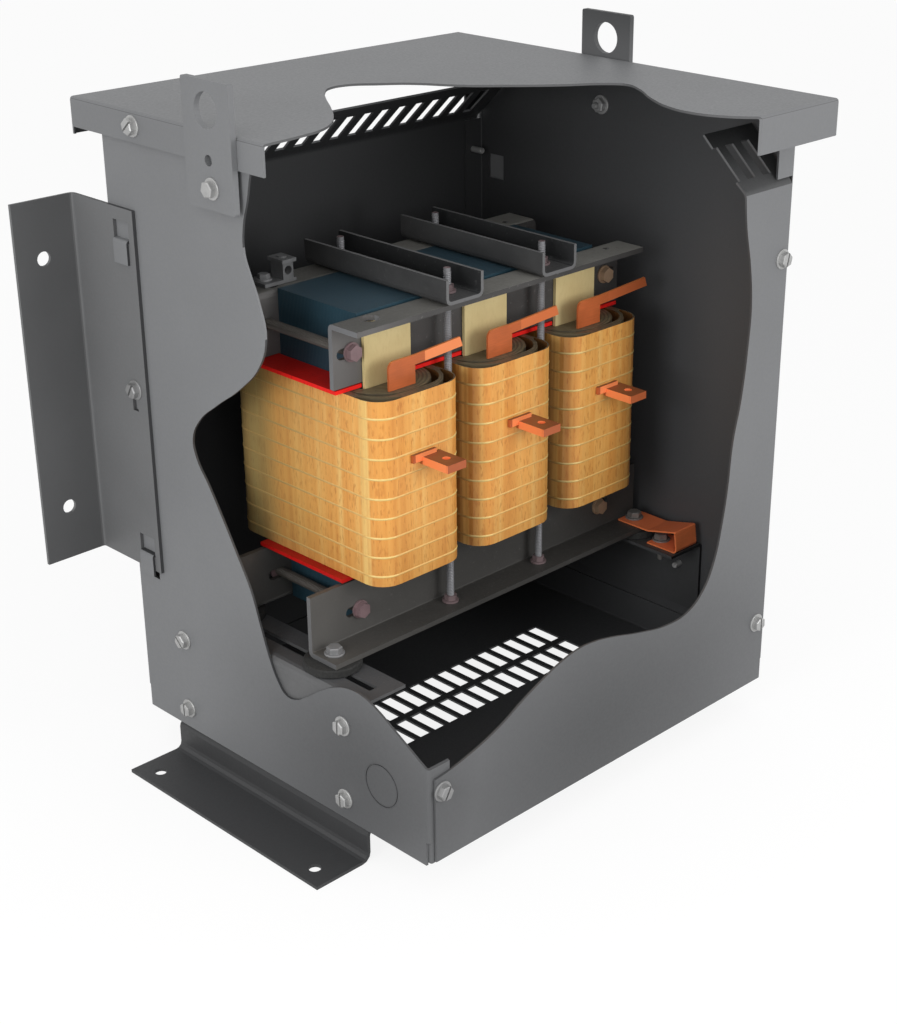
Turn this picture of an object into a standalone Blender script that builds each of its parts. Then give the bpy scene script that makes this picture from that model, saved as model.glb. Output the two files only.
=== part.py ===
"""Ventilated three-phase dry type transformer, cut open at the front to show its core and coils.

Metres, +Z up. The origin lies under the middle of the whole object, on the surface it stands on.
Places are written in the case's own frame and carried to the origin by one empty: x across from the
middle of the case, y back from the front of its walls, z up from the underside of its base pan.
"""

import math

import bmesh
import bpy
from mathutils import Matrix, Vector

# Working values shared by all pieces
CONTACT = 0.0003
OVERRUN = 0.004
WELD = 0.00001
BEND_STEPS = 3
BEND_PROFILE = 0.5
OUTLINE_STEPS = 5
CORNER_STEPS = 6
SMALL_CORNER_STEPS = 3
SLOT_END_STEPS = 3
ROUND_SIDES = 20
HOLE_SIDES = 16
ROD_SIDES = 16
HEX_SIDES = 6
SMOOTH_UNDER = math.radians(40)

# Case
CASE_WIDTH = 0.440
CASE_DEPTH = 0.378
CASE_HEIGHT = 0.560
SHEET = 0.002
BEND = 0.003

# Base pan
PAN_SIDE_FLANGE = 0.034
PAN_END_FLANGE = 0.0217
PAN_FLANGE_SETBACK = 0.004
GRILLE_COLUMNS = 16
GRILLE_ROWS = 2
GRILLE_END_GAP = 0.08425
GRILLE_SLOT_WIDTH = 0.0126
GRILLE_SLOT_LENGTH = 0.0335
GRILLE_ROW_GAP = 0.0075
GRILLE_FORWARD = 0.0015

# Side panels
RETURN_FLANGE = 0.024
CORNER_RELIEF = 0.0032
KNOCKOUT_Y = 0.0552
KNOCKOUT_Z = 0.0526
KNOCKOUT_RADIUS = 0.01935
KNOCKOUT_GROOVE = 0.0009
KNOCKOUT_DEPTH = 0.0008
KNOCKOUT_SIDES = 40

# Front and back panels
PANEL_SIDE_GAP = 0.006
PANEL_BOTTOM = 0.003
STRIP_BEND_DROP = 0.075
STRIP_LENGTH = 0.0634
STRIP_ANGLE = math.radians(43.2)
STRIP_NOTCH_BELOW = 0.003
STRIP_NOTCH_ABOVE = 0.0045
STRIP_NOTCH_LAND = 0.003
VENT_COUNT = 19
VENT_END_GAP = 0.0292
VENT_WIDTH = 0.0110
VENT_START = 0.0135
VENT_LENGTH = 0.0355

# Top cover
COVER_FRONT_OVERHANG = 0.0378
COVER_BACK_OVERHANG = 0.036
COVER_SIDE_OVERHANG = 0.004
COVER_END_FLANGE = 0.031
COVER_SIDE_FLANGE = 0.025
COVER_CORNER_SETBACK = 0.004

# Lifting lugs
LUG_WIDTH = 0.058
LUG_LENGTH = 0.0995
LUG_ABOVE_CASE = 0.040
LUG_THICKNESS = 0.005
LUG_FROM_BACK = 0.156
LUG_CORNER = 0.002
LUG_EYE_DROP = 0.023
LUG_EYE_RADIUS = 0.014
LUG_HOLE_DROP = 0.061
LUG_HOLE_RADIUS = 0.0045
LUG_BOLT_DROP = 0.084
LUG_SPACER_RADIUS = 0.009

# Wall brackets
BRACKET_SHEET = 0.003
BRACKET_BEND = 0.005
BRACKET_BOTTOM = 0.149
BRACKET_TOP_DROP = 0.083
BRACKET_LEG_OVERLAP = 0.040
BRACKET_STANDOFF = 0.049
BRACKET_EAR = 0.0626
BRACKET_HOLE_OUT = 0.036
BRACKET_HOLE_RADIUS = 0.0065
BRACKET_HOLE_FROM_TOP = 0.051
BRACKET_HOLE_FROM_BOTTOM = 0.049
BRACKET_WINDOW_WIDTH = 0.021
BRACKET_WINDOW_HEIGHT = 0.018
BRACKET_WINDOW_FROM_TOP = 0.020
BRACKET_WINDOW_FROM_BOTTOM = 0.0225
BRACKET_SCREW_RISE = 0.004
BRACKET_SLOT_WIDTH = 0.0075
BRACKET_SLOT_HEIGHT = 0.026
BRACKET_SLOT_DROP = 0.005
HOOK_FROM_BACK = 0.0225
HOOK_WIDTH = 0.019
HOOK_BELOW = 0.0065
HOOK_DROP = 0.0208
HOOK_ROOT = 0.0015
HOOK_BEND = 0.0025
LANCE_CLEARANCE = 0.0005
LANCE_LENGTH = 0.0255
LANCE_TOP_BITE = 0.0013

# Mounting feet
FOOT_SHEET = 0.003
FOOT_BEND = 0.006
FOOT_HEIGHT = 0.031
FOOT_START = 0.075
FOOT_BACK_GAP = 0.045
FOOT_TOP_FLANGE = 0.030
FOOT_FLANGE = 0.056
FOOT_HOLE_OUT = 0.0396
FOOT_HOLE_RADIUS = 0.0055
FOOT_HOLE_INSET = 0.022

# Rails and isolation pads
RAIL_SHEET = 0.003
RAIL_LEG = 0.074
RAIL_SHELF = 0.0461
RAIL_TOP = 0.119
RAIL_LENGTH = 0.262
RAIL_SLOT_OUTSIDE_PAD = 0.003
RAIL_SLOT_WIDTH = 0.009
RAIL_SLOT_END_GAP = 0.013
RAIL_END_SLOT = 0.035
RAIL_SLOT_WEB = 0.043
PAD_RADIUS = 0.025
PAD_THICKNESS = 0.0074
PAD_EDGE = 0.001
PAD_HOLE_RADIUS = 0.0055
PAD_FROM_CLAMP_END = 0.013
PAD_SPREAD_Y = 0.064
PAD_SIDES = 24

# Core
CORE_BACKWARD = 0.019
CORE_STACK = 0.0974
CORE_LIMB = 0.057
WINDOW_WIDTH = 0.0559
WINDOW_HEIGHT = 0.171

# Core clamps, their bolts and the channels over them
CLAMP_SHEET = 0.0045
CLAMP_BEND = 0.005
CLAMP_WEB = 0.0555
CLAMP_SHELF = 0.0345
BOTTOM_CLAMP_END_GAP = 0.015
TOP_CLAMP_PAST_BOLT = 0.01915
TOP_CLAMP_STEP = 0.001
CLAMP_HOLE_FROM_BOLT = 0.01285
SMALL_HOLE_FROM_BOLT = 0.00785
CLAMP_HOLE_IN = 0.0095
CLAMP_HOLE_RADIUS = 0.0083
SMALL_HOLE_RADIUS = 0.003
CORE_BOLT_CLEARANCE = 0.0064
CORE_BOLT_RADIUS = 0.004
CORE_BOLT_HEAD = 0.0070
CORE_BOLT_HEAD_HEIGHT = 0.005
CORE_BOLT_WASHER = 0.0082
CORE_BOLT_WASHER_HEIGHT = 0.0015
CORE_BOLT_END = 0.004
CORE_BOLT_RISE = 0.0272
BOLT_SLOT_WIDTH = 0.0095
BOLT_SLOT_OUT = 0.0151
BOLT_SLOT_IN = 0.0050
CHANNEL_LEFT = 0.0222
CHANNEL_RIGHT = 0.0202
CHANNEL_HEIGHT = 0.0215
CHANNEL_SHEET = 0.003
CHANNEL_BEND = 0.0055
CHANNEL_LENGTH = 0.176
TIE_ROD_RADIUS = 0.003
TIE_ROD_HOLE_RADIUS = 0.004
TIE_ROD_STANDOFF = 0.0125
TIE_ROD_TOP = 0.436
NUT_RADIUS = 0.0056
NUT_HEIGHT = 0.0045
NUT_COLLAR_RADIUS = 0.0074
NUT_COLLAR_HEIGHT = 0.0018

# Coils
COIL_CORNER = 0.020
OUTER_WINDING_SIDE = 0.0069
WRAP_THICKNESS = 0.0010
OUTER_WINDING_END = 0.0085
OUTER_WINDING_CORNER = 0.040
OUTER_WINDING_BORE_CORNER = 0.026
WRAP_GAP_START = math.radians(18)
WRAP_GAP_STEPS = 3
DUCT_SIDE = 0.0015
DUCT_END = 0.002
INNER_WINDING_CORNER = 0.036
INNER_WINDING_SIDE = 0.0095
INNER_WINDING_END = 0.026
INNER_BORE_SIDE_GAP = 0.0025
INNER_BORE_END_GAP = 0.0093
INNER_BORE_CORNER = 0.006
INNER_WINDING_SETDOWN = 0.0006

# Insulation
PLATE_THICKNESS = 0.0033
PLATE_DEPTH = 0.108
PLATE_SIDE_GAP = 0.0005
END_PLATE_WIDTH = 0.028
BARRIER_LEFT = 0.0277
BARRIER_RIGHT = 0.0230
BARRIER_THICKNESS = 0.003
BARRIER_BOTTOM = 0.340
BARRIER_TOP_GAP = 0.001

# Copper leads and terminals
LEAD_THICKNESS = 0.002
LEAD_BACK_FROM_FRONT = 0.0195
LEAD_LEFT = 0.020
LEAD_RIGHT = 0.009
LEAD_HEIGHT = 0.0245
LEAD_BAR_HEIGHT = 0.0085
LEAD_CORNER = 0.006
LEAD_REACHES = (0.060, 0.0645, 0.070)
LEAD_BAR_SLOPE = math.radians(3.5)
LEAD_END_LEAN = 0.0030
TERMINAL_Z = 0.2888
TERMINAL_THICKNESS = 0.0069
TERMINAL_LEFT = 0.0035
TERMINAL_RIGHT = 0.0174
TERMINAL_REACH = 0.032
TERMINAL_HOLE_SHIFT = 0.008
TERMINAL_HOLE_REACH = 0.0185
TERMINAL_HOLE_RADIUS = 0.0035
TERMINAL_FOOT_LEFT = 0.0142
TERMINAL_FOOT_RIGHT = 0.012
TERMINAL_FOOT_RISE = 0.0037
TERMINAL_FOOT_HEIGHT = 0.0068
TERMINAL_FOOT_THICKNESS = 0.003

# Ground lug
LUG_BASE_LEFT = 0.1475
LUG_BASE_LENGTH = 0.0335
LUG_BASE_WIDTH = 0.0245
LUG_BASE_HEIGHT = 0.003
LUG_BASE_BACK_GAP = 0.002
TOWER_WIDTH = 0.015
TOWER_DEPTH = 0.020
TOWER_HEIGHT = 0.0175
TOWER_PLATE = 0.0032
TOWER_AHEAD = 0.002
TOWER_INSIDE = 0.001
WAIST_INSET = 0.002
WAIST_OVERLAP = 0.001
LUG_BORE_RADIUS = 0.0038
LUG_BORE_RISE = 0.0075
LUG_SCREW_RADIUS = 0.004
LUG_SCREW_HEIGHT = 0.001

# Bonding strap
STRAP_WIDTH = 0.030
STRAP_FROM_CLAMP_END = 0.012
STRAP_THICKNESS = 0.0014
STRAP_BEND = 0.0015
STRAP_BACK = 0.0090
STRAP_KNEE = 0.0460
STRAP_REACH = 0.0800
STRAP_RISE = 0.0085
STRAP_NOSE = 0.0025
STRAP_NOSE_RISE = 0.0030

# Edges of the cutaway, each point a share of the case's width, depth or height
COVER_CUT_SHARES = (
    (-0.060, 0.424), (-0.009, 0.429), (0.089, 0.441), (0.136, 0.453), (0.183, 0.484),
    (0.220, 0.526), (0.270, 0.602), (0.319, 0.685), (0.350, 0.730), (0.389, 0.766),
    (0.435, 0.766), (0.482, 0.728), (0.529, 0.683), (0.590, 0.580), (0.645, 0.517),
    (0.727, 0.433), (0.805, 0.366), (0.823, 0.331), (0.806, 0.278), (0.757, 0.196),
    (0.718, 0.107), (0.709, 0.034), (0.730, -0.042), (0.771, -0.103), (0.800, -0.150),
)
SIDE_CUT_SHARES = (
    (0.440, 1.060), (0.455, 1.000), (0.487, 0.954), (0.502, 0.914), (0.519, 0.878),
    (0.522, 0.838), (0.507, 0.811), (0.485, 0.778), (0.466, 0.723), (0.489, 0.681),
    (0.556, 0.636), (0.651, 0.591), (0.714, 0.557), (0.743, 0.523), (0.736, 0.495),
    (0.695, 0.455), (0.603, 0.354), (0.567, 0.311), (0.537, 0.254), (0.510, 0.205),
    (0.486, 0.176), (0.461, 0.160), (0.428, 0.161), (0.385, 0.178), (0.330, 0.204),
    (0.283, 0.221), (0.238, 0.229), (0.199, 0.228), (0.156, 0.218), (0.103, 0.199),
    (0.000, 0.161), (-0.040, 0.147),
)
FRONT_CUT_SHARES = (
    (-0.040, 0.143), (0.014, 0.144), (0.091, 0.154), (0.180, 0.176), (0.245, 0.201),
    (0.296, 0.218), (0.343, 0.231), (0.395, 0.239), (0.438, 0.238), (0.487, 0.231),
    (0.576, 0.213), (0.662, 0.201), (0.728, 0.206), (0.774, 0.231), (0.804, 0.272),
    (0.825, 0.337), (0.836, 0.392), (0.845, 0.470), (0.864, 0.538), (0.877, 0.629),
    (0.880, 0.686), (0.870, 0.749), (0.850, 0.817), (0.843, 0.861), (0.838, 0.893),
    (0.838, 0.955), (0.838, 1.040),
)
CUT_PAST_SHARE = 0.25

# Sizes that follow from the ones above
HALF_WIDTH = CASE_WIDTH / 2
WALL_TOP = CASE_HEIGHT - SHEET - CONTACT
INSIDE_WALL = HALF_WIDTH - SHEET - CONTACT
GRILLE_CENTRE_Y = CASE_DEPTH / 2 - GRILLE_FORWARD
STRIP_BEND_Z = CASE_HEIGHT - STRIP_BEND_DROP
VENT_PITCH = (CASE_WIDTH - 2 * VENT_END_GAP) / (VENT_COUNT - 1)
GRILLE_PITCH = (CASE_WIDTH - 2 * GRILLE_END_GAP) / (GRILLE_COLUMNS - 1)
LUG_TOP = CASE_HEIGHT + LUG_ABOVE_CASE
LUG_BOTTOM = LUG_TOP - LUG_LENGTH
LUG_Y = CASE_DEPTH - LUG_FROM_BACK
BRACKET_TOP = CASE_HEIGHT - BRACKET_TOP_DROP
BRACKET_LEG_START = CASE_DEPTH - BRACKET_LEG_OVERLAP
BRACKET_HOLES_Z = (BRACKET_TOP - BRACKET_HOLE_FROM_TOP, BRACKET_BOTTOM + BRACKET_HOLE_FROM_BOTTOM)
BRACKET_WINDOWS_Z = (BRACKET_TOP - BRACKET_WINDOW_FROM_TOP, BRACKET_BOTTOM + BRACKET_WINDOW_FROM_BOTTOM)
BRACKET_SCREW_Z = (BRACKET_TOP + BRACKET_BOTTOM) / 2 + BRACKET_SCREW_RISE
HOOK_Y = CASE_DEPTH - HOOK_FROM_BACK
FOOT_LENGTH = CASE_DEPTH - FOOT_START - FOOT_BACK_GAP
OBJECT_DEPTH = COVER_FRONT_OVERHANG + CASE_DEPTH + BRACKET_STANDOFF
CASE_FRONT_Y = COVER_FRONT_OVERHANG - OBJECT_DEPTH / 2
STRIP_RUN = STRIP_LENGTH * math.cos(STRIP_ANGLE)
STRIP_RISE = STRIP_LENGTH * math.sin(STRIP_ANGLE)
COIL_PITCH = WINDOW_WIDTH + CORE_LIMB
CORE_LENGTH = 2 * COIL_PITCH + CORE_LIMB
BORE_WIDTH = CORE_LIMB + 2 * INNER_BORE_SIDE_GAP
BORE_DEPTH = CORE_STACK + 2 * INNER_BORE_END_GAP
COIL_WIDTH = BORE_WIDTH + 2 * (INNER_WINDING_SIDE + DUCT_SIDE + OUTER_WINDING_SIDE)
COIL_DEPTH = BORE_DEPTH + 2 * (INNER_WINDING_END + DUCT_END + OUTER_WINDING_END)
CORE_CENTRE_Y = CASE_DEPTH / 2 + CORE_BACKWARD
CORE_FRONT = CORE_CENTRE_Y - CORE_STACK / 2
CLAMP_BACK = CORE_CENTRE_Y - CORE_STACK / 2 - CONTACT
CLAMP_FACE = CLAMP_BACK - CLAMP_SHEET
CLAMP_FRONT = CLAMP_BACK - CLAMP_SHELF
CLAMP_BOTTOM = RAIL_TOP + PAD_THICKNESS + 2 * CONTACT
CORE_TOP = CLAMP_BOTTOM + WINDOW_HEIGHT + 2 * CORE_LIMB
TOP_CLAMP_TOP = CORE_TOP - TOP_CLAMP_STEP
CHANNEL_BOTTOM = CORE_TOP + CONTACT
WINDOW_BOTTOM = CLAMP_BOTTOM + CORE_LIMB
WINDOW_TOP = WINDOW_BOTTOM + WINDOW_HEIGHT
COIL_BOTTOM = WINDOW_BOTTOM + PLATE_THICKNESS + 2 * CONTACT
COIL_TOP = WINDOW_TOP - PLATE_THICKNESS - 2 * CONTACT
COIL_FRONT = CORE_CENTRE_Y - COIL_DEPTH / 2
COIL_PLACES = (-COIL_PITCH, 0.0, COIL_PITCH)
TIE_ROD_X = COIL_PITCH / 2
TIE_ROD_Y = CLAMP_FACE - TIE_ROD_STANDOFF
CORE_BOLT_X = CORE_LENGTH / 2 + CORE_BOLT_RADIUS + CORE_BOLT_CLEARANCE
TOP_CLAMP_LENGTH = 2 * (CORE_BOLT_X + TOP_CLAMP_PAST_BOLT)
BOTTOM_CLAMP_LENGTH = CASE_WIDTH - 2 * BOTTOM_CLAMP_END_GAP
PAD_SPREAD_X = BOTTOM_CLAMP_LENGTH / 2 - PAD_FROM_CLAMP_END
RAIL_SLOT_OUT = PAD_SPREAD_X + RAIL_SLOT_OUTSIDE_PAD
RAIL_SLOT_REACH = RAIL_LENGTH / 2 - RAIL_SLOT_END_GAP
RAIL_MIDDLE_REACH = RAIL_SLOT_REACH - RAIL_END_SLOT - RAIL_SLOT_WEB
RAIL_SLOTS = (
    (-RAIL_SLOT_REACH, -RAIL_SLOT_REACH + RAIL_END_SLOT),
    (-RAIL_MIDDLE_REACH, RAIL_MIDDLE_REACH),
    (RAIL_SLOT_REACH - RAIL_END_SLOT, RAIL_SLOT_REACH),
)
STRAP_CENTRE_X = BOTTOM_CLAMP_LENGTH / 2 - STRAP_FROM_CLAMP_END
CORE_BOLT_LOW = CLAMP_BOTTOM + CORE_BOLT_RISE
CORE_BOLT_HIGH = TOP_CLAMP_TOP - CORE_BOLT_RISE
SIDES = (("left", -1), ("right", 1))

# How a drawing's (u, v) lies in the case when its depth runs along each axis:
# (y, z) along X, (x, z) along Y and (x, y) along Z
DRAWN_ALONG = {
    "X": Matrix(((0, 0, 1), (1, 0, 0), (0, 1, 0))).to_4x4(),
    "Y": Matrix(((1, 0, 0), (0, 0, -1), (0, 1, 0))).to_4x4(),
    "Z": Matrix.Identity(4),
}
AXIS = {"X": Vector((1, 0, 0)), "Y": Vector((0, 1, 0)), "Z": Vector((0, 0, 1))}


def make_collection(name, shown):
    group = bpy.data.collections.new(name)
    bpy.context.scene.collection.children.link(group)
    group.hide_render = not shown
    return group


for old in list(bpy.data.objects):
    bpy.data.objects.remove(old, do_unlink=True)
PARTS = make_collection("dry_type_transformer", True)
CUTTERS = make_collection("cutters_and_joined_shapes", False)
CASE = bpy.data.objects.new("case_frame", None)
CASE.location = (0, CASE_FRONT_Y, FOOT_HEIGHT)
PARTS.objects.link(CASE)


def make_material(name, colour, roughness, metallic):
    made = bpy.data.materials.new(name)
    made.use_nodes = True
    shader = made.node_tree.nodes["Principled BSDF"]
    shader.inputs["Base Color"].default_value = (*colour, 1)
    shader.inputs["Roughness"].default_value = roughness
    shader.inputs["Metallic"].default_value = metallic
    return made


PAINT = make_material("enclosure_paint", (0.22, 0.225, 0.235), 0.55, 0.0)
CLAMP_PAINT = make_material("clamp_paint", (0.16, 0.16, 0.165), 0.5, 0.0)
LUG_STEEL = make_material("lug_steel", (0.21, 0.215, 0.22), 0.45, 0.2)
BLUE_LACQUER = make_material("core_lacquer", (0.012, 0.045, 0.075), 0.55, 0.0)
RUBBER = make_material("pad_rubber", (0.02, 0.02, 0.02), 0.8, 0.0)
MAUVE_STEEL = make_material("plated_steel", (0.27, 0.20, 0.21), 0.4, 0.7)
PAPER = make_material("coil_wrap", (0.72, 0.38, 0.12), 0.6, 0.0)
DARK_PAPER = make_material("inner_winding_wrap", (0.22, 0.17, 0.10), 0.7, 0.0)
BOARD = make_material("barrier_board", (0.62, 0.53, 0.28), 0.6, 0.0)
RED_SHEET = make_material("red_insulation", (0.60, 0.010, 0.006), 0.5, 0.0)
COPPER = make_material("copper", (0.76, 0.25, 0.10), 0.35, 0.9)
GREY_METAL = make_material("lug_metal", (0.30, 0.30, 0.31), 0.4, 0.8)


def object_from(bm, name):
    """Turns an edit mesh into an object that is in no collection yet."""
    mesh = bpy.data.meshes.new(name)
    bm.to_mesh(mesh)
    bm.free()
    return bpy.data.objects.new(name, mesh)


def finish(solid, material, smooth_angle=None):
    """Puts a finished piece in the parts collection, in the case's frame."""
    PARTS.objects.link(solid)
    solid.parent = CASE
    solid.data.materials.clear()
    solid.data.materials.append(material)
    if smooth_angle is not None:
        solid.data.shade_smooth()
        solid.data.set_sharp_from_angle(angle=smooth_angle)
    return solid


def set_aside(solid):
    """Puts a cutter or a shape that is joined to another where it is drawn as wire and never rendered."""
    if solid.name not in CUTTERS.objects:
        CUTTERS.objects.link(solid)
    solid.parent = CASE
    solid.hide_render = True
    solid.display_type = "WIRE"
    return solid


def combine(solid, other, operation):
    step = solid.modifiers.new(operation.lower(), "BOOLEAN")
    step.operation = operation
    step.solver = "EXACT"
    step.object = set_aside(other)


def cut(solid, *cutters):
    for cutter in cutters:
        combine(solid, cutter, "DIFFERENCE")
    return solid


def join(solid, *others):
    for other in others:
        combine(solid, other, "UNION")
    return solid


def drawing_frame(axis, start, end):
    return Matrix.Translation(AXIS[axis] * (start + end) / 2) @ DRAWN_ALONG[axis]


def mesh_of_curve(drawn):
    """The closed mesh of a filled curve, with its caps welded on."""
    CUTTERS.objects.link(drawn)
    evaluated = drawn.evaluated_get(bpy.context.evaluated_depsgraph_get())
    mesh = bpy.data.meshes.new_from_object(evaluated)
    bm = bmesh.new()
    bm.from_mesh(mesh)
    bmesh.ops.remove_doubles(bm, verts=bm.verts, dist=WELD)
    bmesh.ops.recalc_face_normals(bm, faces=bm.faces)
    bm.to_mesh(mesh)
    bm.free()
    name = drawn.name
    place = drawn.matrix_world.copy()
    bpy.data.objects.remove(drawn, do_unlink=True)
    mesh.transform(place)
    return bpy.data.objects.new(name, mesh)


def filled_curve(name, axis, start, end):
    curve = bpy.data.curves.new(name, "CURVE")
    curve.dimensions = "2D"
    curve.fill_mode = "BOTH"
    curve.extrude = abs(end - start) / 2
    curve.resolution_u = OUTLINE_STEPS
    drawn = bpy.data.objects.new(name, curve)
    drawn.matrix_world = drawing_frame(axis, start, end)
    return drawn


def flat_solid(name, axis, outlines, start, end):
    """A plate or prism from closed outlines of (u, v) points, the first its edge and the rest its holes."""
    drawn = filled_curve(name, axis, start, end)
    for outline in outlines:
        spline = drawn.data.splines.new("POLY")
        spline.points.add(len(outline) - 1)
        for point, (u, v) in zip(spline.points, outline):
            point.co = (u, v, 0, 1)
        spline.use_cyclic_u = True
    return mesh_of_curve(drawn)


def cutaway(name, axis, edge, corners, start, end):
    """A cutter with a smooth edge through its points, closed by straight runs round the corners."""
    drawn = filled_curve(name, axis, start, end)
    spline = drawn.data.splines.new("BEZIER")
    places = [*edge, *corners]
    spline.bezier_points.add(len(places) - 1)
    for number, (point, (u, v)) in enumerate(zip(spline.bezier_points, places)):
        point.co = (u, v, 0)
        handle = "AUTO" if 0 < number < len(edge) - 1 else "VECTOR"
        point.handle_left_type = handle
        point.handle_right_type = handle
    spline.use_cyclic_u = True
    return mesh_of_curve(drawn)


def blocks(name, boxes):
    """One mesh of separate boxes, each from its lowest and highest corner."""
    bm = bmesh.new()
    for low, high in boxes:
        low = Vector(low)
        high = Vector(high)
        place = Matrix.Translation((low + high) / 2) @ Matrix.Diagonal((*(high - low), 1))
        bmesh.ops.create_cube(bm, size=1, matrix=place)
    return object_from(bm, name)


def rounds(name, axis, places, radius, start, end, sides=HOLE_SIDES):
    """One mesh of separate rods along an axis, each at a (u, v) place."""
    bm = bmesh.new()
    frame = drawing_frame(axis, start, end)
    for u, v in places:
        place = frame @ Matrix.Translation((u, v, 0))
        bmesh.ops.create_cone(
            bm,
            cap_ends=True,
            segments=sides,
            radius1=radius,
            radius2=radius,
            depth=abs(end - start),
            matrix=place,
        )
    return object_from(bm, name)


def folded_sheet(name, axis, path, start, end, thickness, radius):
    """A sheet folded along a path of (u, v) points and run along an axis, its thickness left of the path."""
    half = abs(end - start) / 2
    bm = bmesh.new()
    corners = [bm.verts.new((u, v, -half)) for u, v in path]
    lines = [bm.edges.new(pair) for pair in zip(corners, corners[1:])]
    drawn = bmesh.ops.extrude_edge_only(bm, edges=lines)["geom"]
    moved = [item for item in drawn if isinstance(item, bmesh.types.BMVert)]
    bmesh.ops.translate(bm, verts=moved, vec=(0, 0, 2 * half))
    bm.normal_update()
    first = Vector(path[1]) - Vector(path[0])
    right = Vector((first.y, -first.x, 0))
    face = min(bm.faces, key=lambda item: (item.calc_center_median() - face_middle(path)).length)
    if face.normal.dot(right) < 0:
        bmesh.ops.reverse_faces(bm, faces=bm.faces)
    folds = [edge for edge in bm.edges if len(edge.link_faces) == 2]
    bmesh.ops.bevel(bm, geom=folds, offset=radius, segments=BEND_STEPS, profile=BEND_PROFILE, affect="EDGES")
    bm.transform(drawing_frame(axis, start, end))
    sheet = object_from(bm, name)
    add_thickness(sheet, thickness)
    return sheet


def face_middle(path):
    middle = (Vector(path[0]) + Vector(path[1])) / 2
    return Vector((middle.x, middle.y, 0))


def add_thickness(sheet, thickness):
    step = sheet.modifiers.new("thickness", "SOLIDIFY")
    step.thickness = thickness
    step.offset = -1
    step.use_even_offset = True


def open_tray(name, low, high, open_side):
    """A folded tray: a box with rounded edges and one side open, its thickness inwards."""
    low = Vector(low)
    high = Vector(high)
    bm = bmesh.new()
    place = Matrix.Translation((low + high) / 2) @ Matrix.Diagonal((*(high - low), 1))
    bmesh.ops.create_cube(bm, size=1, matrix=place)
    bm.normal_update()
    lost = [face for face in bm.faces if face.normal.z * open_side > 0.5]
    bmesh.ops.delete(bm, geom=lost, context="FACES_ONLY")
    folds = [edge for edge in bm.edges if len(edge.link_faces) == 2]
    bmesh.ops.bevel(bm, geom=folds, offset=BEND, segments=BEND_STEPS, profile=BEND_PROFILE, affect="EDGES")
    tray = object_from(bm, name)
    add_thickness(tray, SHEET)
    return tray


def turned(name, profile, centre, sides):
    """A round piece from its (radius, height) profile, which runs down its outer side and up its bore."""
    bm = bmesh.new()
    ring = [bm.verts.new((radius, 0, height)) for radius, height in profile]
    for pair in zip(ring, ring[1:] + ring[:1]):
        bm.edges.new(pair)
    piece = object_from(bm, name)
    piece.location = centre
    spin = piece.modifiers.new("turn", "SCREW")
    spin.steps = sides
    spin.render_steps = sides
    spin.use_merge_vertices = True
    spin.merge_threshold = WELD
    return piece


def rectangle(low, high):
    return [(low[0], low[1]), (high[0], low[1]), (high[0], high[1]), (low[0], high[1])]


def rounded_rectangle(centre, half_u, half_v, radius, steps=CORNER_STEPS):
    """A rectangle's outline with its corners as arcs."""
    points = []
    for quarter, (side_u, side_v) in enumerate(((1, 1), (-1, 1), (-1, -1), (1, -1))):
        for step in range(steps + 1):
            angle = math.pi / 2 * (quarter + step / steps)
            u = centre[0] + side_u * (half_u - radius) + radius * math.cos(angle)
            v = centre[1] + side_v * (half_v - radius) + radius * math.sin(angle)
            points.append((u, v))
    return points


def circle(centre, radius, sides=HOLE_SIDES):
    turns = [2 * math.pi * step / sides for step in range(sides)]
    return [(centre[0] + radius * math.cos(turn), centre[1] + radius * math.sin(turn)) for turn in turns]


def mirrored_path(path, side):
    """A path drawn for the left side, or its mirror image with the sheet still on the same face."""
    if side < 0:
        return path
    return [(-u, v) for u, v in reversed(path)]


def share_points(shares, width, height, shift):
    return [(width * across - shift, height * up) for across, up in shares]


def sorted_pair(first, second):
    return min(first, second), max(first, second)


def side_box(side, inner, outer, y_range, z_range):
    """The two corners of a box that lies between two distances from the middle, on one side."""
    x_range = sorted_pair(side * inner, side * outer)
    return tuple(zip(x_range, y_range, z_range))


# Enclosure


def make_base_pan():
    pan = open_tray(
        "base_pan", (-INSIDE_WALL, 0, 0), (INSIDE_WALL, CASE_DEPTH, PAN_SIDE_FLANGE), open_side=1
    )
    reach = INSIDE_WALL + OVERRUN
    ends = ((-OVERRUN, PAN_FLANGE_SETBACK), (CASE_DEPTH - PAN_FLANGE_SETBACK, CASE_DEPTH + OVERRUN))
    trims = [
        ((-reach, start, PAN_END_FLANGE), (reach, end, PAN_SIDE_FLANGE + OVERRUN)) for start, end in ends
    ]
    slots = []
    first_x = -GRILLE_PITCH * (GRILLE_COLUMNS - 1) / 2
    row_pitch = GRILLE_SLOT_LENGTH + GRILLE_ROW_GAP
    for column in range(GRILLE_COLUMNS):
        x = first_x + GRILLE_PITCH * column
        for row in range(GRILLE_ROWS):
            y = GRILLE_CENTRE_Y + row_pitch * (row - (GRILLE_ROWS - 1) / 2)
            low = (x - GRILLE_SLOT_WIDTH / 2, y - GRILLE_SLOT_LENGTH / 2, -OVERRUN)
            high = (x + GRILLE_SLOT_WIDTH / 2, y + GRILLE_SLOT_LENGTH / 2, SHEET + OVERRUN)
            slots.append((low, high))
    cut(pan, blocks("pan_flange_trim", trims), blocks("pan_grille_slots", slots))
    finish(pan, PAINT)


def hook_path():
    """The outer face of a hook lanced out of the left wall, from its root at height zero to its tip."""
    face = HALF_WIDTH + BRACKET_SHEET + SHEET + 2 * CONTACT
    return [(-HALF_WIDTH + HOOK_ROOT, 0), (-face, 0), (-face, -HOOK_DROP)]


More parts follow.
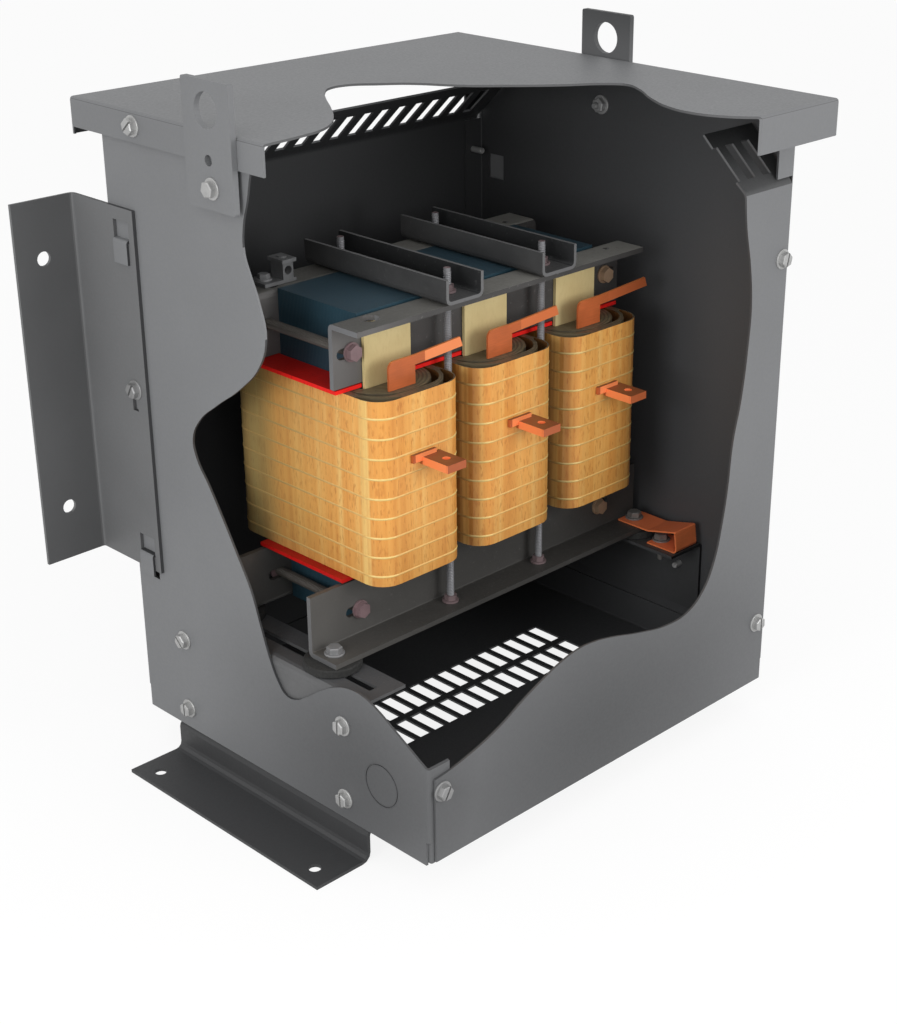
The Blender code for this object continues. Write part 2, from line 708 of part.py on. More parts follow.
def make_side_panel(word, side):
    outline = [
        (-HALF_WIDTH + RETURN_FLANGE, CASE_DEPTH),
        (-HALF_WIDTH, CASE_DEPTH),
        (-HALF_WIDTH, 0),
        (-HALF_WIDTH + RETURN_FLANGE, 0),
    ]
    panel = folded_sheet(
        f"{word}_side_panel", "Z", mirrored_path(outline, side), 0, WALL_TOP, SHEET, BEND
    )
    inner = HALF_WIDTH - RETURN_FLANGE - OVERRUN
    outer = HALF_WIDTH + OVERRUN
    front = (-OVERRUN, CORNER_RELIEF)
    back = (CASE_DEPTH - CORNER_RELIEF, CASE_DEPTH + OVERRUN)
    corner = (-OVERRUN, PAN_END_FLANGE)
    notch = (STRIP_BEND_Z - STRIP_NOTCH_BELOW, STRIP_BEND_Z + STRIP_NOTCH_ABOVE)
    notch_outer = HALF_WIDTH - STRIP_NOTCH_LAND
    trims = [side_box(side, inner, outer, ends, corner) for ends in (front, back)]
    trims += [side_box(side, inner, notch_outer, ends, notch) for ends in (front, back)]
    lance = (HOOK_Y - HOOK_WIDTH / 2 - LANCE_CLEARANCE, HOOK_Y + HOOK_WIDTH / 2 + LANCE_CLEARANCE)
    hooks = []
    for number, z in enumerate(BRACKET_WINDOWS_Z):
        top = z - HOOK_BELOW
        opening = (top - LANCE_LENGTH, top - LANCE_TOP_BITE)
        trims.append(side_box(side, HALF_WIDTH - SHEET - OVERRUN, outer, lance, opening))
        path = [(u, v + top) for u, v in hook_path()]
        hook_ends = (HOOK_Y - HOOK_WIDTH / 2, HOOK_Y + HOOK_WIDTH / 2)
        name = f"{word}_hook_{number + 1}"
        hooks.append(folded_sheet(name, "Y", mirrored_path(path, side), *hook_ends, SHEET, HOOK_BEND))
    cut(panel, blocks(f"{word}_panel_trims", trims))
    if side < 0:
        cut(panel, side_cutaway(), knockout_groove())
    join(panel, *hooks)
    finish(panel, PAINT)


def side_cutaway():
    edge = share_points(SIDE_CUT_SHARES, CASE_DEPTH, CASE_HEIGHT, 0)
    past = -CUT_PAST_SHARE * CASE_DEPTH
    corners = [(past, edge[-1][1]), (past, edge[0][1])]
    inner = -HALF_WIDTH + RETURN_FLANGE + OVERRUN
    return cutaway("side_cutaway", "X", edge, corners, -HALF_WIDTH - OVERRUN, inner)


def knockout_groove():
    centre = (KNOCKOUT_Y, KNOCKOUT_Z)
    rings = [
        circle(centre, KNOCKOUT_RADIUS, KNOCKOUT_SIDES),
        circle(centre, KNOCKOUT_RADIUS - KNOCKOUT_GROOVE, KNOCKOUT_SIDES),
    ]
    return flat_solid("knockout_groove", "X", rings, -HALF_WIDTH - OVERRUN, -HALF_WIDTH + KNOCKOUT_DEPTH)


def make_vented_panel(name, facing):
    """The front panel (facing -1) or the back one (facing 1): a flat sheet with a slanted, slotted strip."""
    wall = CASE_DEPTH / 2
    face = wall + SHEET + CONTACT
    path = [
        (-face + STRIP_RUN, STRIP_BEND_Z + STRIP_RISE),
        (-face, STRIP_BEND_Z),
        (-face, PANEL_BOTTOM),
    ]
    path = [(u + wall, v) for u, v in mirrored_path(path, facing)]
    half = HALF_WIDTH - PANEL_SIDE_GAP
    panel = folded_sheet(name, "X", path, -half, half, SHEET, BEND)
    return cut(panel, vent_slots(f"{name}_vents", facing, wall, face))


def vent_slots(name, facing, wall, face):
    """A row of slots through the slanted strip, each a box turned to the strip's slope."""
    bm = bmesh.new()
    size = Vector((VENT_WIDTH, VENT_LENGTH, 2 * OVERRUN))
    along = VENT_START + VENT_LENGTH / 2
    bend = Matrix.Translation((0, wall + facing * face, STRIP_BEND_Z))
    slope = Matrix.Rotation(-facing * STRIP_ANGLE, 4, "X")
    for number in range(VENT_COUNT):
        x = VENT_PITCH * (number - (VENT_COUNT - 1) / 2)
        place = bend @ slope @ Matrix.Translation((x, -facing * along, 0)) @ Matrix.Diagonal((*size, 1))
        bmesh.ops.create_cube(bm, size=1, matrix=place)
    return object_from(bm, name)


def make_front_panel():
    panel = make_vented_panel("front_panel", -1)
    edge = share_points(FRONT_CUT_SHARES, CASE_WIDTH, CASE_HEIGHT, HALF_WIDTH)
    past = -HALF_WIDTH - CUT_PAST_SHARE * CASE_WIDTH
    corners = [(past, edge[-1][1]), (past, edge[0][1])]
    front = -SHEET - CONTACT - OVERRUN
    cut(panel, cutaway("front_cutaway", "Y", edge, corners, front, STRIP_RUN + OVERRUN))
    finish(panel, PAINT)


def make_back_panel():
    finish(make_vented_panel("back_panel", 1), PAINT)


def make_top_cover():
    half = HALF_WIDTH + COVER_SIDE_OVERHANG
    low = (-half, -COVER_FRONT_OVERHANG, CASE_HEIGHT - COVER_END_FLANGE)
    high = (half, CASE_DEPTH + COVER_BACK_OVERHANG, CASE_HEIGHT)
    cover = open_tray("top_cover", low, high, open_side=-1)
    y_range = (
        -COVER_FRONT_OVERHANG + COVER_CORNER_SETBACK,
        CASE_DEPTH + COVER_BACK_OVERHANG - COVER_CORNER_SETBACK,
    )
    z_range = (CASE_HEIGHT - COVER_END_FLANGE - OVERRUN, CASE_HEIGHT - COVER_SIDE_FLANGE)
    trims = [side_box(side, half - SHEET - OVERRUN, half + OVERRUN, y_range, z_range) for _, side in SIDES]
    edge = share_points(COVER_CUT_SHARES, CASE_WIDTH, CASE_DEPTH, HALF_WIDTH)
    corners = [(edge[0][0], edge[-1][1])]
    opening = cutaway(
        "cover_cutaway", "Z", edge, corners, CASE_HEIGHT - COVER_END_FLANGE - OVERRUN, CASE_HEIGHT + OVERRUN
    )
    cut(cover, blocks("cover_flange_trim", trims), opening)
    finish(cover, PAINT)


def make_lifting_lug(word, side):
    inner = HALF_WIDTH + COVER_SIDE_OVERHANG + CONTACT
    faces = sorted_pair(side * inner, side * (inner + LUG_THICKNESS))
    centre = (LUG_Y, (LUG_BOTTOM + LUG_TOP) / 2)
    outlines = [
        rounded_rectangle(centre, LUG_WIDTH / 2, (LUG_TOP - LUG_BOTTOM) / 2, LUG_CORNER, SMALL_CORNER_STEPS),
        circle((LUG_Y, LUG_TOP - LUG_EYE_DROP), LUG_EYE_RADIUS, 2 * HOLE_SIDES),
        circle((LUG_Y, LUG_TOP - LUG_HOLE_DROP), LUG_HOLE_RADIUS),
    ]
    lug = flat_solid(f"lifting_lug_{word}", "X", outlines, *faces)
    spacer_ends = sorted_pair(side * (HALF_WIDTH + CONTACT), side * (inner + LUG_THICKNESS / 2))
    place = (LUG_Y, LUG_TOP - LUG_BOLT_DROP)
    join(lug, rounds(f"{word}_lug_spacer", "X", [place], LUG_SPACER_RADIUS, *spacer_ends, ROUND_SIDES))
    finish(lug, LUG_STEEL)


def make_wall_bracket(word, side):
    wall = HALF_WIDTH + CONTACT
    back = CASE_DEPTH + BRACKET_STANDOFF
    path = [(-wall, BRACKET_LEG_START), (-wall, back), (-HALF_WIDTH - BRACKET_EAR, back)]
    bracket = folded_sheet(
        f"wall_bracket_{word}",
        "Z",
        mirrored_path(path, side),
        BRACKET_BOTTOM,
        BRACKET_TOP,
        BRACKET_SHEET,
        BRACKET_BEND,
    )
    past = (HALF_WIDTH - OVERRUN, HALF_WIDTH + BRACKET_SHEET + OVERRUN)
    window_y = (HOOK_Y - BRACKET_WINDOW_WIDTH / 2, HOOK_Y + BRACKET_WINDOW_WIDTH / 2)
    openings = [
        side_box(side, *past, window_y, (z - BRACKET_WINDOW_HEIGHT / 2, z + BRACKET_WINDOW_HEIGHT / 2))
        for z in BRACKET_WINDOWS_Z
    ]
    slot_y = (HOOK_Y - BRACKET_SLOT_WIDTH / 2, HOOK_Y + BRACKET_SLOT_WIDTH / 2)
    slot_middle = BRACKET_SCREW_Z - BRACKET_SLOT_DROP
    slot_z = (slot_middle - BRACKET_SLOT_HEIGHT / 2, slot_middle + BRACKET_SLOT_HEIGHT / 2)
    openings.append(side_box(side, *past, slot_y, slot_z))
    hole_x = side * (HALF_WIDTH + BRACKET_HOLE_OUT)
    holes = rounds(
        f"{word}_bracket_holes",
        "Y",
        [(hole_x, z) for z in BRACKET_HOLES_Z],
        BRACKET_HOLE_RADIUS,
        back - BRACKET_SHEET - OVERRUN,
        back + OVERRUN,
    )
    cut(bracket, blocks(f"{word}_bracket_openings", openings), holes)
    finish(bracket, PAINT)


def make_mounting_foot(word, side):
    path = [
        (-HALF_WIDTH + FOOT_TOP_FLANGE, -CONTACT),
        (-HALF_WIDTH, -CONTACT),
        (-HALF_WIDTH, -FOOT_HEIGHT + FOOT_SHEET),
        (-HALF_WIDTH - FOOT_FLANGE, -FOOT_HEIGHT + FOOT_SHEET),
    ]
    foot = folded_sheet(
        f"mounting_foot_{word}",
        "Y",
        mirrored_path(path, side),
        FOOT_START,
        FOOT_START + FOOT_LENGTH,
        FOOT_SHEET,
        FOOT_BEND,
    )
    hole_x = side * (HALF_WIDTH + FOOT_HOLE_OUT)
    hole_ys = (FOOT_START + FOOT_HOLE_INSET, FOOT_START + FOOT_LENGTH - FOOT_HOLE_INSET)
    holes = rounds(
        f"{word}_foot_holes",
        "Z",
        [(hole_x, y) for y in hole_ys],
        FOOT_HOLE_RADIUS,
        -FOOT_HEIGHT - OVERRUN,
        -FOOT_HEIGHT + FOOT_SHEET + OVERRUN,
    )
    finish(cut(foot, holes), PAINT)


# Supports of the core


def make_core_rail(word, side):
    path = [
        (-INSIDE_WALL + RAIL_SHELF, RAIL_TOP),
        (-INSIDE_WALL, RAIL_TOP),
        (-INSIDE_WALL, RAIL_TOP - RAIL_LEG),
    ]
    rail = folded_sheet(
        f"core_rail_{word}",
        "Y",
        mirrored_path(path, side),
        CORE_CENTRE_Y - RAIL_LENGTH / 2,
        CORE_CENTRE_Y + RAIL_LENGTH / 2,
        RAIL_SHEET,
        FOOT_BEND,
    )
    across = (RAIL_SLOT_OUT - RAIL_SLOT_WIDTH / 2, RAIL_SLOT_OUT + RAIL_SLOT_WIDTH / 2)
    depth = (RAIL_TOP - RAIL_SHEET - OVERRUN, RAIL_TOP + OVERRUN)
    slots = [
        side_box(side, *across, (CORE_CENTRE_Y + start, CORE_CENTRE_Y + end), depth)
        for start, end in RAIL_SLOTS
    ]
    finish(cut(rail, blocks(f"{word}_rail_slots", slots)), PAINT)


def make_isolation_pads():
    top = PAD_THICKNESS
    profile = [
        (PAD_HOLE_RADIUS, top),
        (PAD_RADIUS - PAD_EDGE, top),
        (PAD_RADIUS, top - PAD_EDGE),
        (PAD_RADIUS, PAD_EDGE),
        (PAD_RADIUS - PAD_EDGE, 0),
        (PAD_HOLE_RADIUS, 0),
    ]
    for word, side in SIDES:
        for end, way in (("front", -1), ("back", 1)):
            centre = (side * PAD_SPREAD_X, CORE_CENTRE_Y + way * PAD_SPREAD_Y, RAIL_TOP + CONTACT)
            pad = turned(f"isolation_pad_{end}_{word}", profile, centre, PAD_SIDES)
            finish(pad, RUBBER)


# Core, its clamps and what ties them together


def make_core():
    half = CORE_LENGTH / 2
    outlines = [rectangle((-half, CLAMP_BOTTOM), (half, CORE_TOP))]
    for side in (-1, 1):
        centre = side * COIL_PITCH / 2
        low = (centre - WINDOW_WIDTH / 2, WINDOW_BOTTOM)
        high = (centre + WINDOW_WIDTH / 2, WINDOW_TOP)
        outlines.append(rectangle(low, high))
    core = flat_solid("core", "Y", outlines, CORE_FRONT, CORE_FRONT + CORE_STACK)
    finish(core, BLUE_LACQUER)


def clamp_path(level, upright):
    """An angle in front of the core, its shelf to the front: level is its outer corner's height."""
    path = [
        (CLAMP_FRONT, level),
        (CLAMP_BACK, level),
        (CLAMP_BACK, level + upright * CLAMP_WEB),
    ]
    path = [(u - CORE_CENTRE_Y, v) for u, v in path]
    return path if upright > 0 else path[::-1]


def make_clamp(name, level, upright, length, facing):
    path = [(u + CORE_CENTRE_Y, v) for u, v in mirrored_path(clamp_path(level, upright), facing)]
    return folded_sheet(name, "X", path, -length / 2, length / 2, CLAMP_SHEET, CLAMP_BEND)


def clamp_holes(name, facing, level, upright, holes):
    """Round holes down through a clamp's shelf, as (x, distance in front of the core centre, radius)."""
    joined = bmesh.new()
    for x, out, radius in holes:
        y = CORE_CENTRE_Y + facing * out
        middle = level + upright * CLAMP_SHEET / 2
        bmesh.ops.create_cone(
            joined,
            cap_ends=True,
            segments=HOLE_SIDES,
            radius1=radius,
            radius2=radius,
            depth=CLAMP_SHEET + 2 * OVERRUN,
            matrix=Matrix.Translation((x, y, middle)),
        )
    return object_from(joined, name)


def bolt_slots(name, facing, z):
    """Slots through a clamp's web, open past each core bolt's head and round at both ends."""
    web_out = CORE_CENTRE_Y - CLAMP_FACE + OVERRUN
    web_in = CORE_STACK / 2 - OVERRUN
    y_range = sorted_pair(CORE_CENTRE_Y + facing * web_in, CORE_CENTRE_Y + facing * web_out)
    half_height = BOLT_SLOT_WIDTH / 2
    half_length = (BOLT_SLOT_OUT + BOLT_SLOT_IN) / 2
    middle = CORE_BOLT_X + (BOLT_SLOT_OUT - BOLT_SLOT_IN) / 2
    return [
        flat_solid(
            f"{name}_{word}",
            "Y",
            [rounded_rectangle((side * middle, z), half_length, half_height, half_height, SLOT_END_STEPS)],
            *y_range,
        )
        for word, side in SIDES
    ]


def make_clamps():
    tie_out = CORE_CENTRE_Y - TIE_ROD_Y
    ties = [(side * TIE_ROD_X, tie_out, TIE_ROD_HOLE_RADIUS) for _, side in SIDES]
    pads = [(side * PAD_SPREAD_X, PAD_SPREAD_Y, PAD_HOLE_RADIUS) for _, side in SIDES]
    hole_out = CORE_CENTRE_Y - CLAMP_FACE + CLAMP_HOLE_IN
    spare = [
        (-CORE_BOLT_X + CLAMP_HOLE_FROM_BOLT, hole_out, CLAMP_HOLE_RADIUS),
        (CORE_BOLT_X - SMALL_HOLE_FROM_BOLT, hole_out, SMALL_HOLE_RADIUS),
    ]
    layers = (
        ("bottom", CLAMP_BOTTOM, 1, BOTTOM_CLAMP_LENGTH, ties + pads, CORE_BOLT_LOW),
        ("top", TOP_CLAMP_TOP, -1, TOP_CLAMP_LENGTH, ties + spare, CORE_BOLT_HIGH),
    )
    for layer, level, upright, length, holes, bolt_z in layers:
        for end, facing in (("front", -1), ("back", 1)):
            name = f"{layer}_clamp_{end}"
            clamp = make_clamp(name, level, upright, length, facing)
            cut(
                clamp,
                clamp_holes(f"{name}_holes", facing, level, upright, holes),
                *bolt_slots(f"{name}_slot", facing, bolt_z),
            )
            finish(clamp, CLAMP_PAINT)


def make_core_bolts():
    """Bolts past the core's ends, from the front clamp's web to the back one's."""
    front = CLAMP_FACE - CONTACT
    back = 2 * CORE_CENTRE_Y - front
    for layer, z in (("bottom", CORE_BOLT_LOW), ("top", CORE_BOLT_HIGH)):
        for word, side in SIDES:
            name = f"core_bolt_{layer}_{word}"
            place = [(side * CORE_BOLT_X, z)]
            washer_front = front - CORE_BOLT_WASHER_HEIGHT
            washer_back = back + CORE_BOLT_WASHER_HEIGHT
            head_front = washer_front - CORE_BOLT_HEAD_HEIGHT
            nut_back = washer_back + CORE_BOLT_HEAD_HEIGHT
            overlap = CORE_BOLT_WASHER_HEIGHT / 2
            head_back = washer_front + overlap
            nut_front = washer_back - overlap
            bolt = rounds(
                name, "Y", place, CORE_BOLT_RADIUS, washer_front - overlap, nut_back + CORE_BOLT_END
            )
            join(
                bolt,
                rounds(f"{name}_washer", "Y", place, CORE_BOLT_WASHER, washer_front, front, ROUND_SIDES),
                rounds(f"{name}_head", "Y", place, CORE_BOLT_HEAD, head_front, head_back, HEX_SIDES),
                rounds(f"{name}_back_washer", "Y", place, CORE_BOLT_WASHER, back, washer_back, ROUND_SIDES),
                rounds(f"{name}_nut", "Y", place, CORE_BOLT_HEAD, nut_front, nut_back, HEX_SIDES),
            )
            finish(bolt, MAUVE_STEEL, SMOOTH_UNDER)


def make_cross_channels():
    rods = (TIE_ROD_Y, 2 * CORE_CENTRE_Y - TIE_ROD_Y)
    for word, side in SIDES:
        x = side * TIE_ROD_X
        path = [
            (x - CHANNEL_LEFT, CHANNEL_BOTTOM + CHANNEL_HEIGHT),
            (x - CHANNEL_LEFT, CHANNEL_BOTTOM),
            (x + CHANNEL_RIGHT, CHANNEL_BOTTOM),
            (x + CHANNEL_RIGHT, CHANNEL_BOTTOM + CHANNEL_HEIGHT),
        ]
        channel = folded_sheet(
            f"cross_channel_{word}",
            "Y",
            path,
            CORE_CENTRE_Y - CHANNEL_LENGTH / 2,
            CORE_CENTRE_Y + CHANNEL_LENGTH / 2,
            CHANNEL_SHEET,
            CHANNEL_BEND,
        )
        holes = rounds(
            f"{word}_channel_holes",
            "Z",
            [(x, y) for y in rods],
            TIE_ROD_HOLE_RADIUS,
            CHANNEL_BOTTOM - OVERRUN,
            CHANNEL_BOTTOM + CHANNEL_SHEET + OVERRUN,
        )
        finish(cut(channel, holes), CLAMP_PAINT)


def nut_shapes(name, place, seat, way):
    """A hex nut and its round collar, standing on a seat and pointing up (way 1) or down (way -1)."""
    collar_end = seat + way * NUT_COLLAR_HEIGHT
    nut_start = seat + way * NUT_COLLAR_HEIGHT / 2
    nut_end = collar_end + way * NUT_HEIGHT
    collar = rounds(f"{name}_collar", "Z", [place], NUT_COLLAR_RADIUS, *sorted_pair(seat, collar_end))
    nut = rounds(f"{name}_nut", "Z", [place], NUT_RADIUS, *sorted_pair(nut_start, nut_end), HEX_SIDES)
    return collar, nut


def make_tie_rods():
    head_seat = CLAMP_BOTTOM - CONTACT
    low_nut_seat = CLAMP_BOTTOM + CLAMP_SHEET + CONTACT
    high_nut_seat = CHANNEL_BOTTOM + CHANNEL_SHEET + CONTACT
    rod_bottom = head_seat - NUT_COLLAR_HEIGHT - NUT_HEIGHT / 2
    for word, side in SIDES:
        for end, way in (("front", -1), ("back", 1)):
            name = f"tie_rod_{end}_{word}"
            place = (side * TIE_ROD_X, CORE_CENTRE_Y + way * (CORE_CENTRE_Y - TIE_ROD_Y))
            rod = rounds(name, "Z", [place], TIE_ROD_RADIUS, rod_bottom, TIE_ROD_TOP, ROD_SIDES)
            join(
                rod,
                *nut_shapes(f"{name}_head", place, head_seat, -1),
                *nut_shapes(f"{name}_low", place, low_nut_seat, 1),
                *nut_shapes(f"{name}_high", place, high_nut_seat, 1),
            )
            finish(rod, MAUVE_STEEL, SMOOTH_UNDER)


# Coils and insulation


def wrap_gaps(centre):
    """The four openings at a coil's corners, between the square wrap and the rounder winding in it."""
    half_width = COIL_WIDTH / 2 - WRAP_THICKNESS
    half_depth = COIL_DEPTH / 2 - WRAP_THICKNESS
    wrap_corner = COIL_CORNER - WRAP_THICKNESS
    wrap_turns = [math.pi / 2 * step / WRAP_GAP_STEPS for step in range(WRAP_GAP_STEPS + 1)]
    span = math.pi / 2 - 2 * WRAP_GAP_START
    winding_turns = [WRAP_GAP_START + span * step / WRAP_GAP_STEPS for step in range(WRAP_GAP_STEPS + 1)]

    def on_arc(radius, turn):
        across = half_width - radius + radius * math.cos(turn)
        back = half_depth - radius + radius * math.sin(turn)
        return across, back

    start = on_arc(OUTER_WINDING_CORNER, winding_turns[0])
    end = on_arc(OUTER_WINDING_CORNER, winding_turns[-1])
    corner = [(half_width, start[1])]
    corner += [on_arc(wrap_corner, turn) for turn in wrap_turns]
    corner += [(end[0], half_depth)]
    corner += [on_arc(OUTER_WINDING_CORNER, turn) for turn in reversed(winding_turns)]
    return [
        [(centre[0] + side_u * u, centre[1] + side_v * v) for u, v in corner]
        for side_u, side_v in ((1, 1), (-1, 1), (-1, -1), (1, -1))
    ]


def make_windings():
    half_width = COIL_WIDTH / 2
    half_depth = COIL_DEPTH / 2
    bore_width = half_width - OUTER_WINDING_SIDE
    bore_depth = half_depth - OUTER_WINDING_END
    inner_width = bore_width - DUCT_SIDE
    inner_depth = bore_depth - DUCT_END
    for number, x in enumerate(COIL_PLACES):
        centre = (x, CORE_CENTRE_Y)
        outer = [
            rounded_rectangle(centre, half_width, half_depth, COIL_CORNER),
            rounded_rectangle(centre, bore_width, bore_depth, OUTER_WINDING_BORE_CORNER),
            *wrap_gaps(centre),
        ]
        winding = flat_solid(f"outer_winding_{number + 1}", "Z", outer, COIL_BOTTOM, COIL_TOP)
        finish(winding, PAPER, SMOOTH_UNDER)
        inner = [
            rounded_rectangle(centre, inner_width, inner_depth, INNER_WINDING_CORNER),
            rounded_rectangle(
                centre, BORE_WIDTH / 2, BORE_DEPTH / 2, INNER_BORE_CORNER, SMALL_CORNER_STEPS
            ),
        ]
        top = COIL_TOP - INNER_WINDING_SETDOWN
        winding = flat_solid(f"inner_winding_{number + 1}", "Z", inner, COIL_BOTTOM, top)
        finish(winding, DARK_PAPER, SMOOTH_UNDER)


def make_insulating_plates():
    """Red sheets between the coils and the yokes: one in each window and one outside each end limb."""
    window_half = WINDOW_WIDTH / 2 - PLATE_SIDE_GAP
    end_inner = CORE_LENGTH / 2 + PLATE_SIDE_GAP
    ranges = (
        ("left_end", -end_inner - END_PLATE_WIDTH, -end_inner),
        ("left_window", -TIE_ROD_X - window_half, -TIE_ROD_X + window_half),
        ("right_window", TIE_ROD_X - window_half, TIE_ROD_X + window_half),
        ("right_end", end_inner, end_inner + END_PLATE_WIDTH),
    )
    heights = (
        ("bottom", WINDOW_BOTTOM + CONTACT),
        ("top", COIL_TOP + CONTACT),
    )
    front = CORE_CENTRE_Y - PLATE_DEPTH / 2
    for layer, z in heights:
        for word, start, end in ranges:
            low = (start, front, z)
            high = (end, front + PLATE_DEPTH, z + PLATE_THICKNESS)
            finish(blocks(f"{layer}_plate_{word}", [(low, high)]), RED_SHEET)


def make_barriers():
    back = CLAMP_FACE - CONTACT
    top = TOP_CLAMP_TOP - CLAMP_SHEET - BARRIER_TOP_GAP
    for number, x in enumerate(COIL_PLACES):
        low = (x - BARRIER_LEFT, back - BARRIER_THICKNESS, BARRIER_BOTTOM)
        high = (x + BARRIER_RIGHT, back, top)
        finish(blocks(f"barrier_{number + 1}", [(low, high)]), BOARD)


# Copper


def make_low_voltage_leads():
    """Flags of flat bar on the inner windings: an upright tab with a bar to the right along its top."""
    back = COIL_FRONT + LEAD_BACK_FROM_FRONT
    bottom = COIL_TOP - INNER_WINDING_SETDOWN + CONTACT
    top = bottom + LEAD_HEIGHT
    for number, (x, reach) in enumerate(zip(COIL_PLACES, LEAD_REACHES)):
        left = x - LEAD_LEFT
        arc_centre = (left + LEAD_CORNER, top - LEAD_CORNER)
        turns = [math.pi / 2 * (1 + step / CORNER_STEPS) for step in range(CORNER_STEPS + 1)]
        corner = [
            (arc_centre[0] + LEAD_CORNER * math.cos(turn), arc_centre[1] + LEAD_CORNER * math.sin(turn))
            for turn in turns
        ]
        right = x + LEAD_RIGHT
        end = x + reach
        end_top = top + (end - right) * math.tan(LEAD_BAR_SLOPE)
        outline = [
            (left, bottom),
            (right, bottom),
            (right, top - LEAD_BAR_HEIGHT),
            (end + LEAD_END_LEAN, end_top - LEAD_BAR_HEIGHT),
            (end, end_top),
            (right, top),
            *corner,
        ]
        lead = flat_solid(f"lv_lead_{number + 1}", "Y", [outline], back - LEAD_THICKNESS, back)
        finish(lead, COPPER)


def make_high_voltage_terminals():
    """Drilled pads that stand out of the coils' fronts, each on a foot against the winding."""
    back = COIL_FRONT - CONTACT
    for number, x in enumerate(COIL_PLACES):
        name = f"hv_terminal_{number + 1}"
        low = (x - TERMINAL_LEFT, back - TERMINAL_REACH, TERMINAL_Z)
        high = (x + TERMINAL_RIGHT, back, TERMINAL_Z + TERMINAL_THICKNESS)
        pad = blocks(name, [(low, high)])
        foot_z = TERMINAL_Z + TERMINAL_FOOT_RISE
        foot_low = (x - TERMINAL_FOOT_LEFT, back - TERMINAL_FOOT_THICKNESS, foot_z)
        foot_high = (x + TERMINAL_FOOT_RIGHT, back, foot_z + TERMINAL_FOOT_HEIGHT)
        join(pad, blocks(f"{name}_foot", [(foot_low, foot_high)]))
        hole = (x + TERMINAL_HOLE_SHIFT, back - TERMINAL_HOLE_REACH)
        drill = (TERMINAL_Z - OVERRUN, TERMINAL_Z + TERMINAL_THICKNESS + OVERRUN)
        cut(pad, rounds(f"{name}_hole", "Z", [hole], TERMINAL_HOLE_RADIUS, *drill))
        finish(pad, COPPER)


def make_ground_lug():
    """A lug on the back top clamp: a flat base, a bored waist and a wider plate with a screw on top."""
    back = 2 * CORE_CENTRE_Y - CLAMP_FRONT - LUG_BASE_BACK_GAP
    front = back - LUG_BASE_WIDTH
    right = -LUG_BASE_LEFT + LUG_BASE_LENGTH
    seat = TOP_CLAMP_TOP + CONTACT
    base_top = seat + LUG_BASE_HEIGHT
    tower_top = base_top + TOWER_HEIGHT
    plate_low = (right - TOWER_INSIDE - TOWER_WIDTH, front - TOWER_AHEAD, tower_top - TOWER_PLATE)
    plate_high = (right - TOWER_INSIDE, front - TOWER_AHEAD + TOWER_DEPTH, tower_top)
    waist_low = (plate_low[0] + WAIST_INSET, plate_low[1] + WAIST_INSET, base_top - WAIST_OVERLAP)
    waist_high = (
        plate_high[0] - WAIST_INSET,
        plate_high[1] - WAIST_INSET,
        tower_top - TOWER_PLATE + WAIST_OVERLAP,
    )
    middle_x = (plate_low[0] + plate_high[0]) / 2
    middle_y = (plate_low[1] + plate_high[1]) / 2
    bore_ends = (plate_low[1] - OVERRUN, plate_high[1] + OVERRUN)
    bore_place = [(middle_x, base_top + LUG_BORE_RISE)]
    bore = rounds("ground_lug_bore", "Y", bore_place, LUG_BORE_RADIUS, *bore_ends)
    screw_ends = (tower_top - WAIST_OVERLAP, tower_top + LUG_SCREW_HEIGHT)
    screw = rounds("ground_lug_screw", "Z", [(middle_x, middle_y)], LUG_SCREW_RADIUS, *screw_ends)
    lug = blocks("ground_lug", [((-LUG_BASE_LEFT, front, seat), (right, back, base_top))])
    join(lug, blocks("ground_lug_waist", [(waist_low, waist_high)]))
    join(lug, blocks("ground_lug_plate", [(plate_low, plate_high)]))
    cut(lug, bore)
    join(lug, screw)
    finish(lug, GREY_METAL)


def make_bonding_strap():
    """A bent copper strap from the front bottom clamp's shelf, out and down onto the right rail."""
    top = CLAMP_BOTTOM + CLAMP_SHEET + CONTACT + STRAP_THICKNESS
    bottom = RAIL_TOP + CONTACT
    nose = CLAMP_BACK - STRAP_REACH
    knee = CLAMP_BACK - STRAP_KNEE
    path = [
        (CLAMP_BACK - STRAP_BACK, top),
        (knee, top),
        (nose, top + STRAP_RISE),
        (nose - STRAP_NOSE, bottom + STRAP_NOSE_RISE),
        (nose, bottom),
        (knee, bottom),
    ]
    low_x = STRAP_CENTRE_X - STRAP_WIDTH / 2
    strap = folded_sheet(
        "bonding_strap", "X", path, low_x, low_x + STRAP_WIDTH, STRAP_THICKNESS, STRAP_BEND
    )
    finish(strap, COPPER)


def make_enclosure():
    make_base_pan()
    for word, side in SIDES:
        make_side_panel(word, side)
        make_lifting_lug(word, side)
        make_wall_bracket(word, side)
        make_mounting_foot(word, side)
    make_front_panel()
    make_back_panel()
    make_top_cover()


def make_core_and_coils():
    for word, side in SIDES:
        make_core_rail(word, side)
    make_isolation_pads()
    make_core()
    make_clamps()
    make_core_bolts()
    make_cross_channels()
    make_tie_rods()
    make_windings()
    make_insulating_plates()
    make_barriers()
    make_low_voltage_leads()
    make_high_voltage_terminals()
    make_ground_lug()
    make_bonding_strap()


make_enclosure()
make_core_and_coils()
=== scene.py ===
"""Looks of the ventilated dry type transformer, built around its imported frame.

Metres, +Z up. Places on the case are counted from its front left bottom corner: across, back and up,
in millimetres. Colours are linear, and a level is the share of its tone that a colour keeps.
"""

import math

import bmesh
import bpy
from mathutils import Matrix, Vector


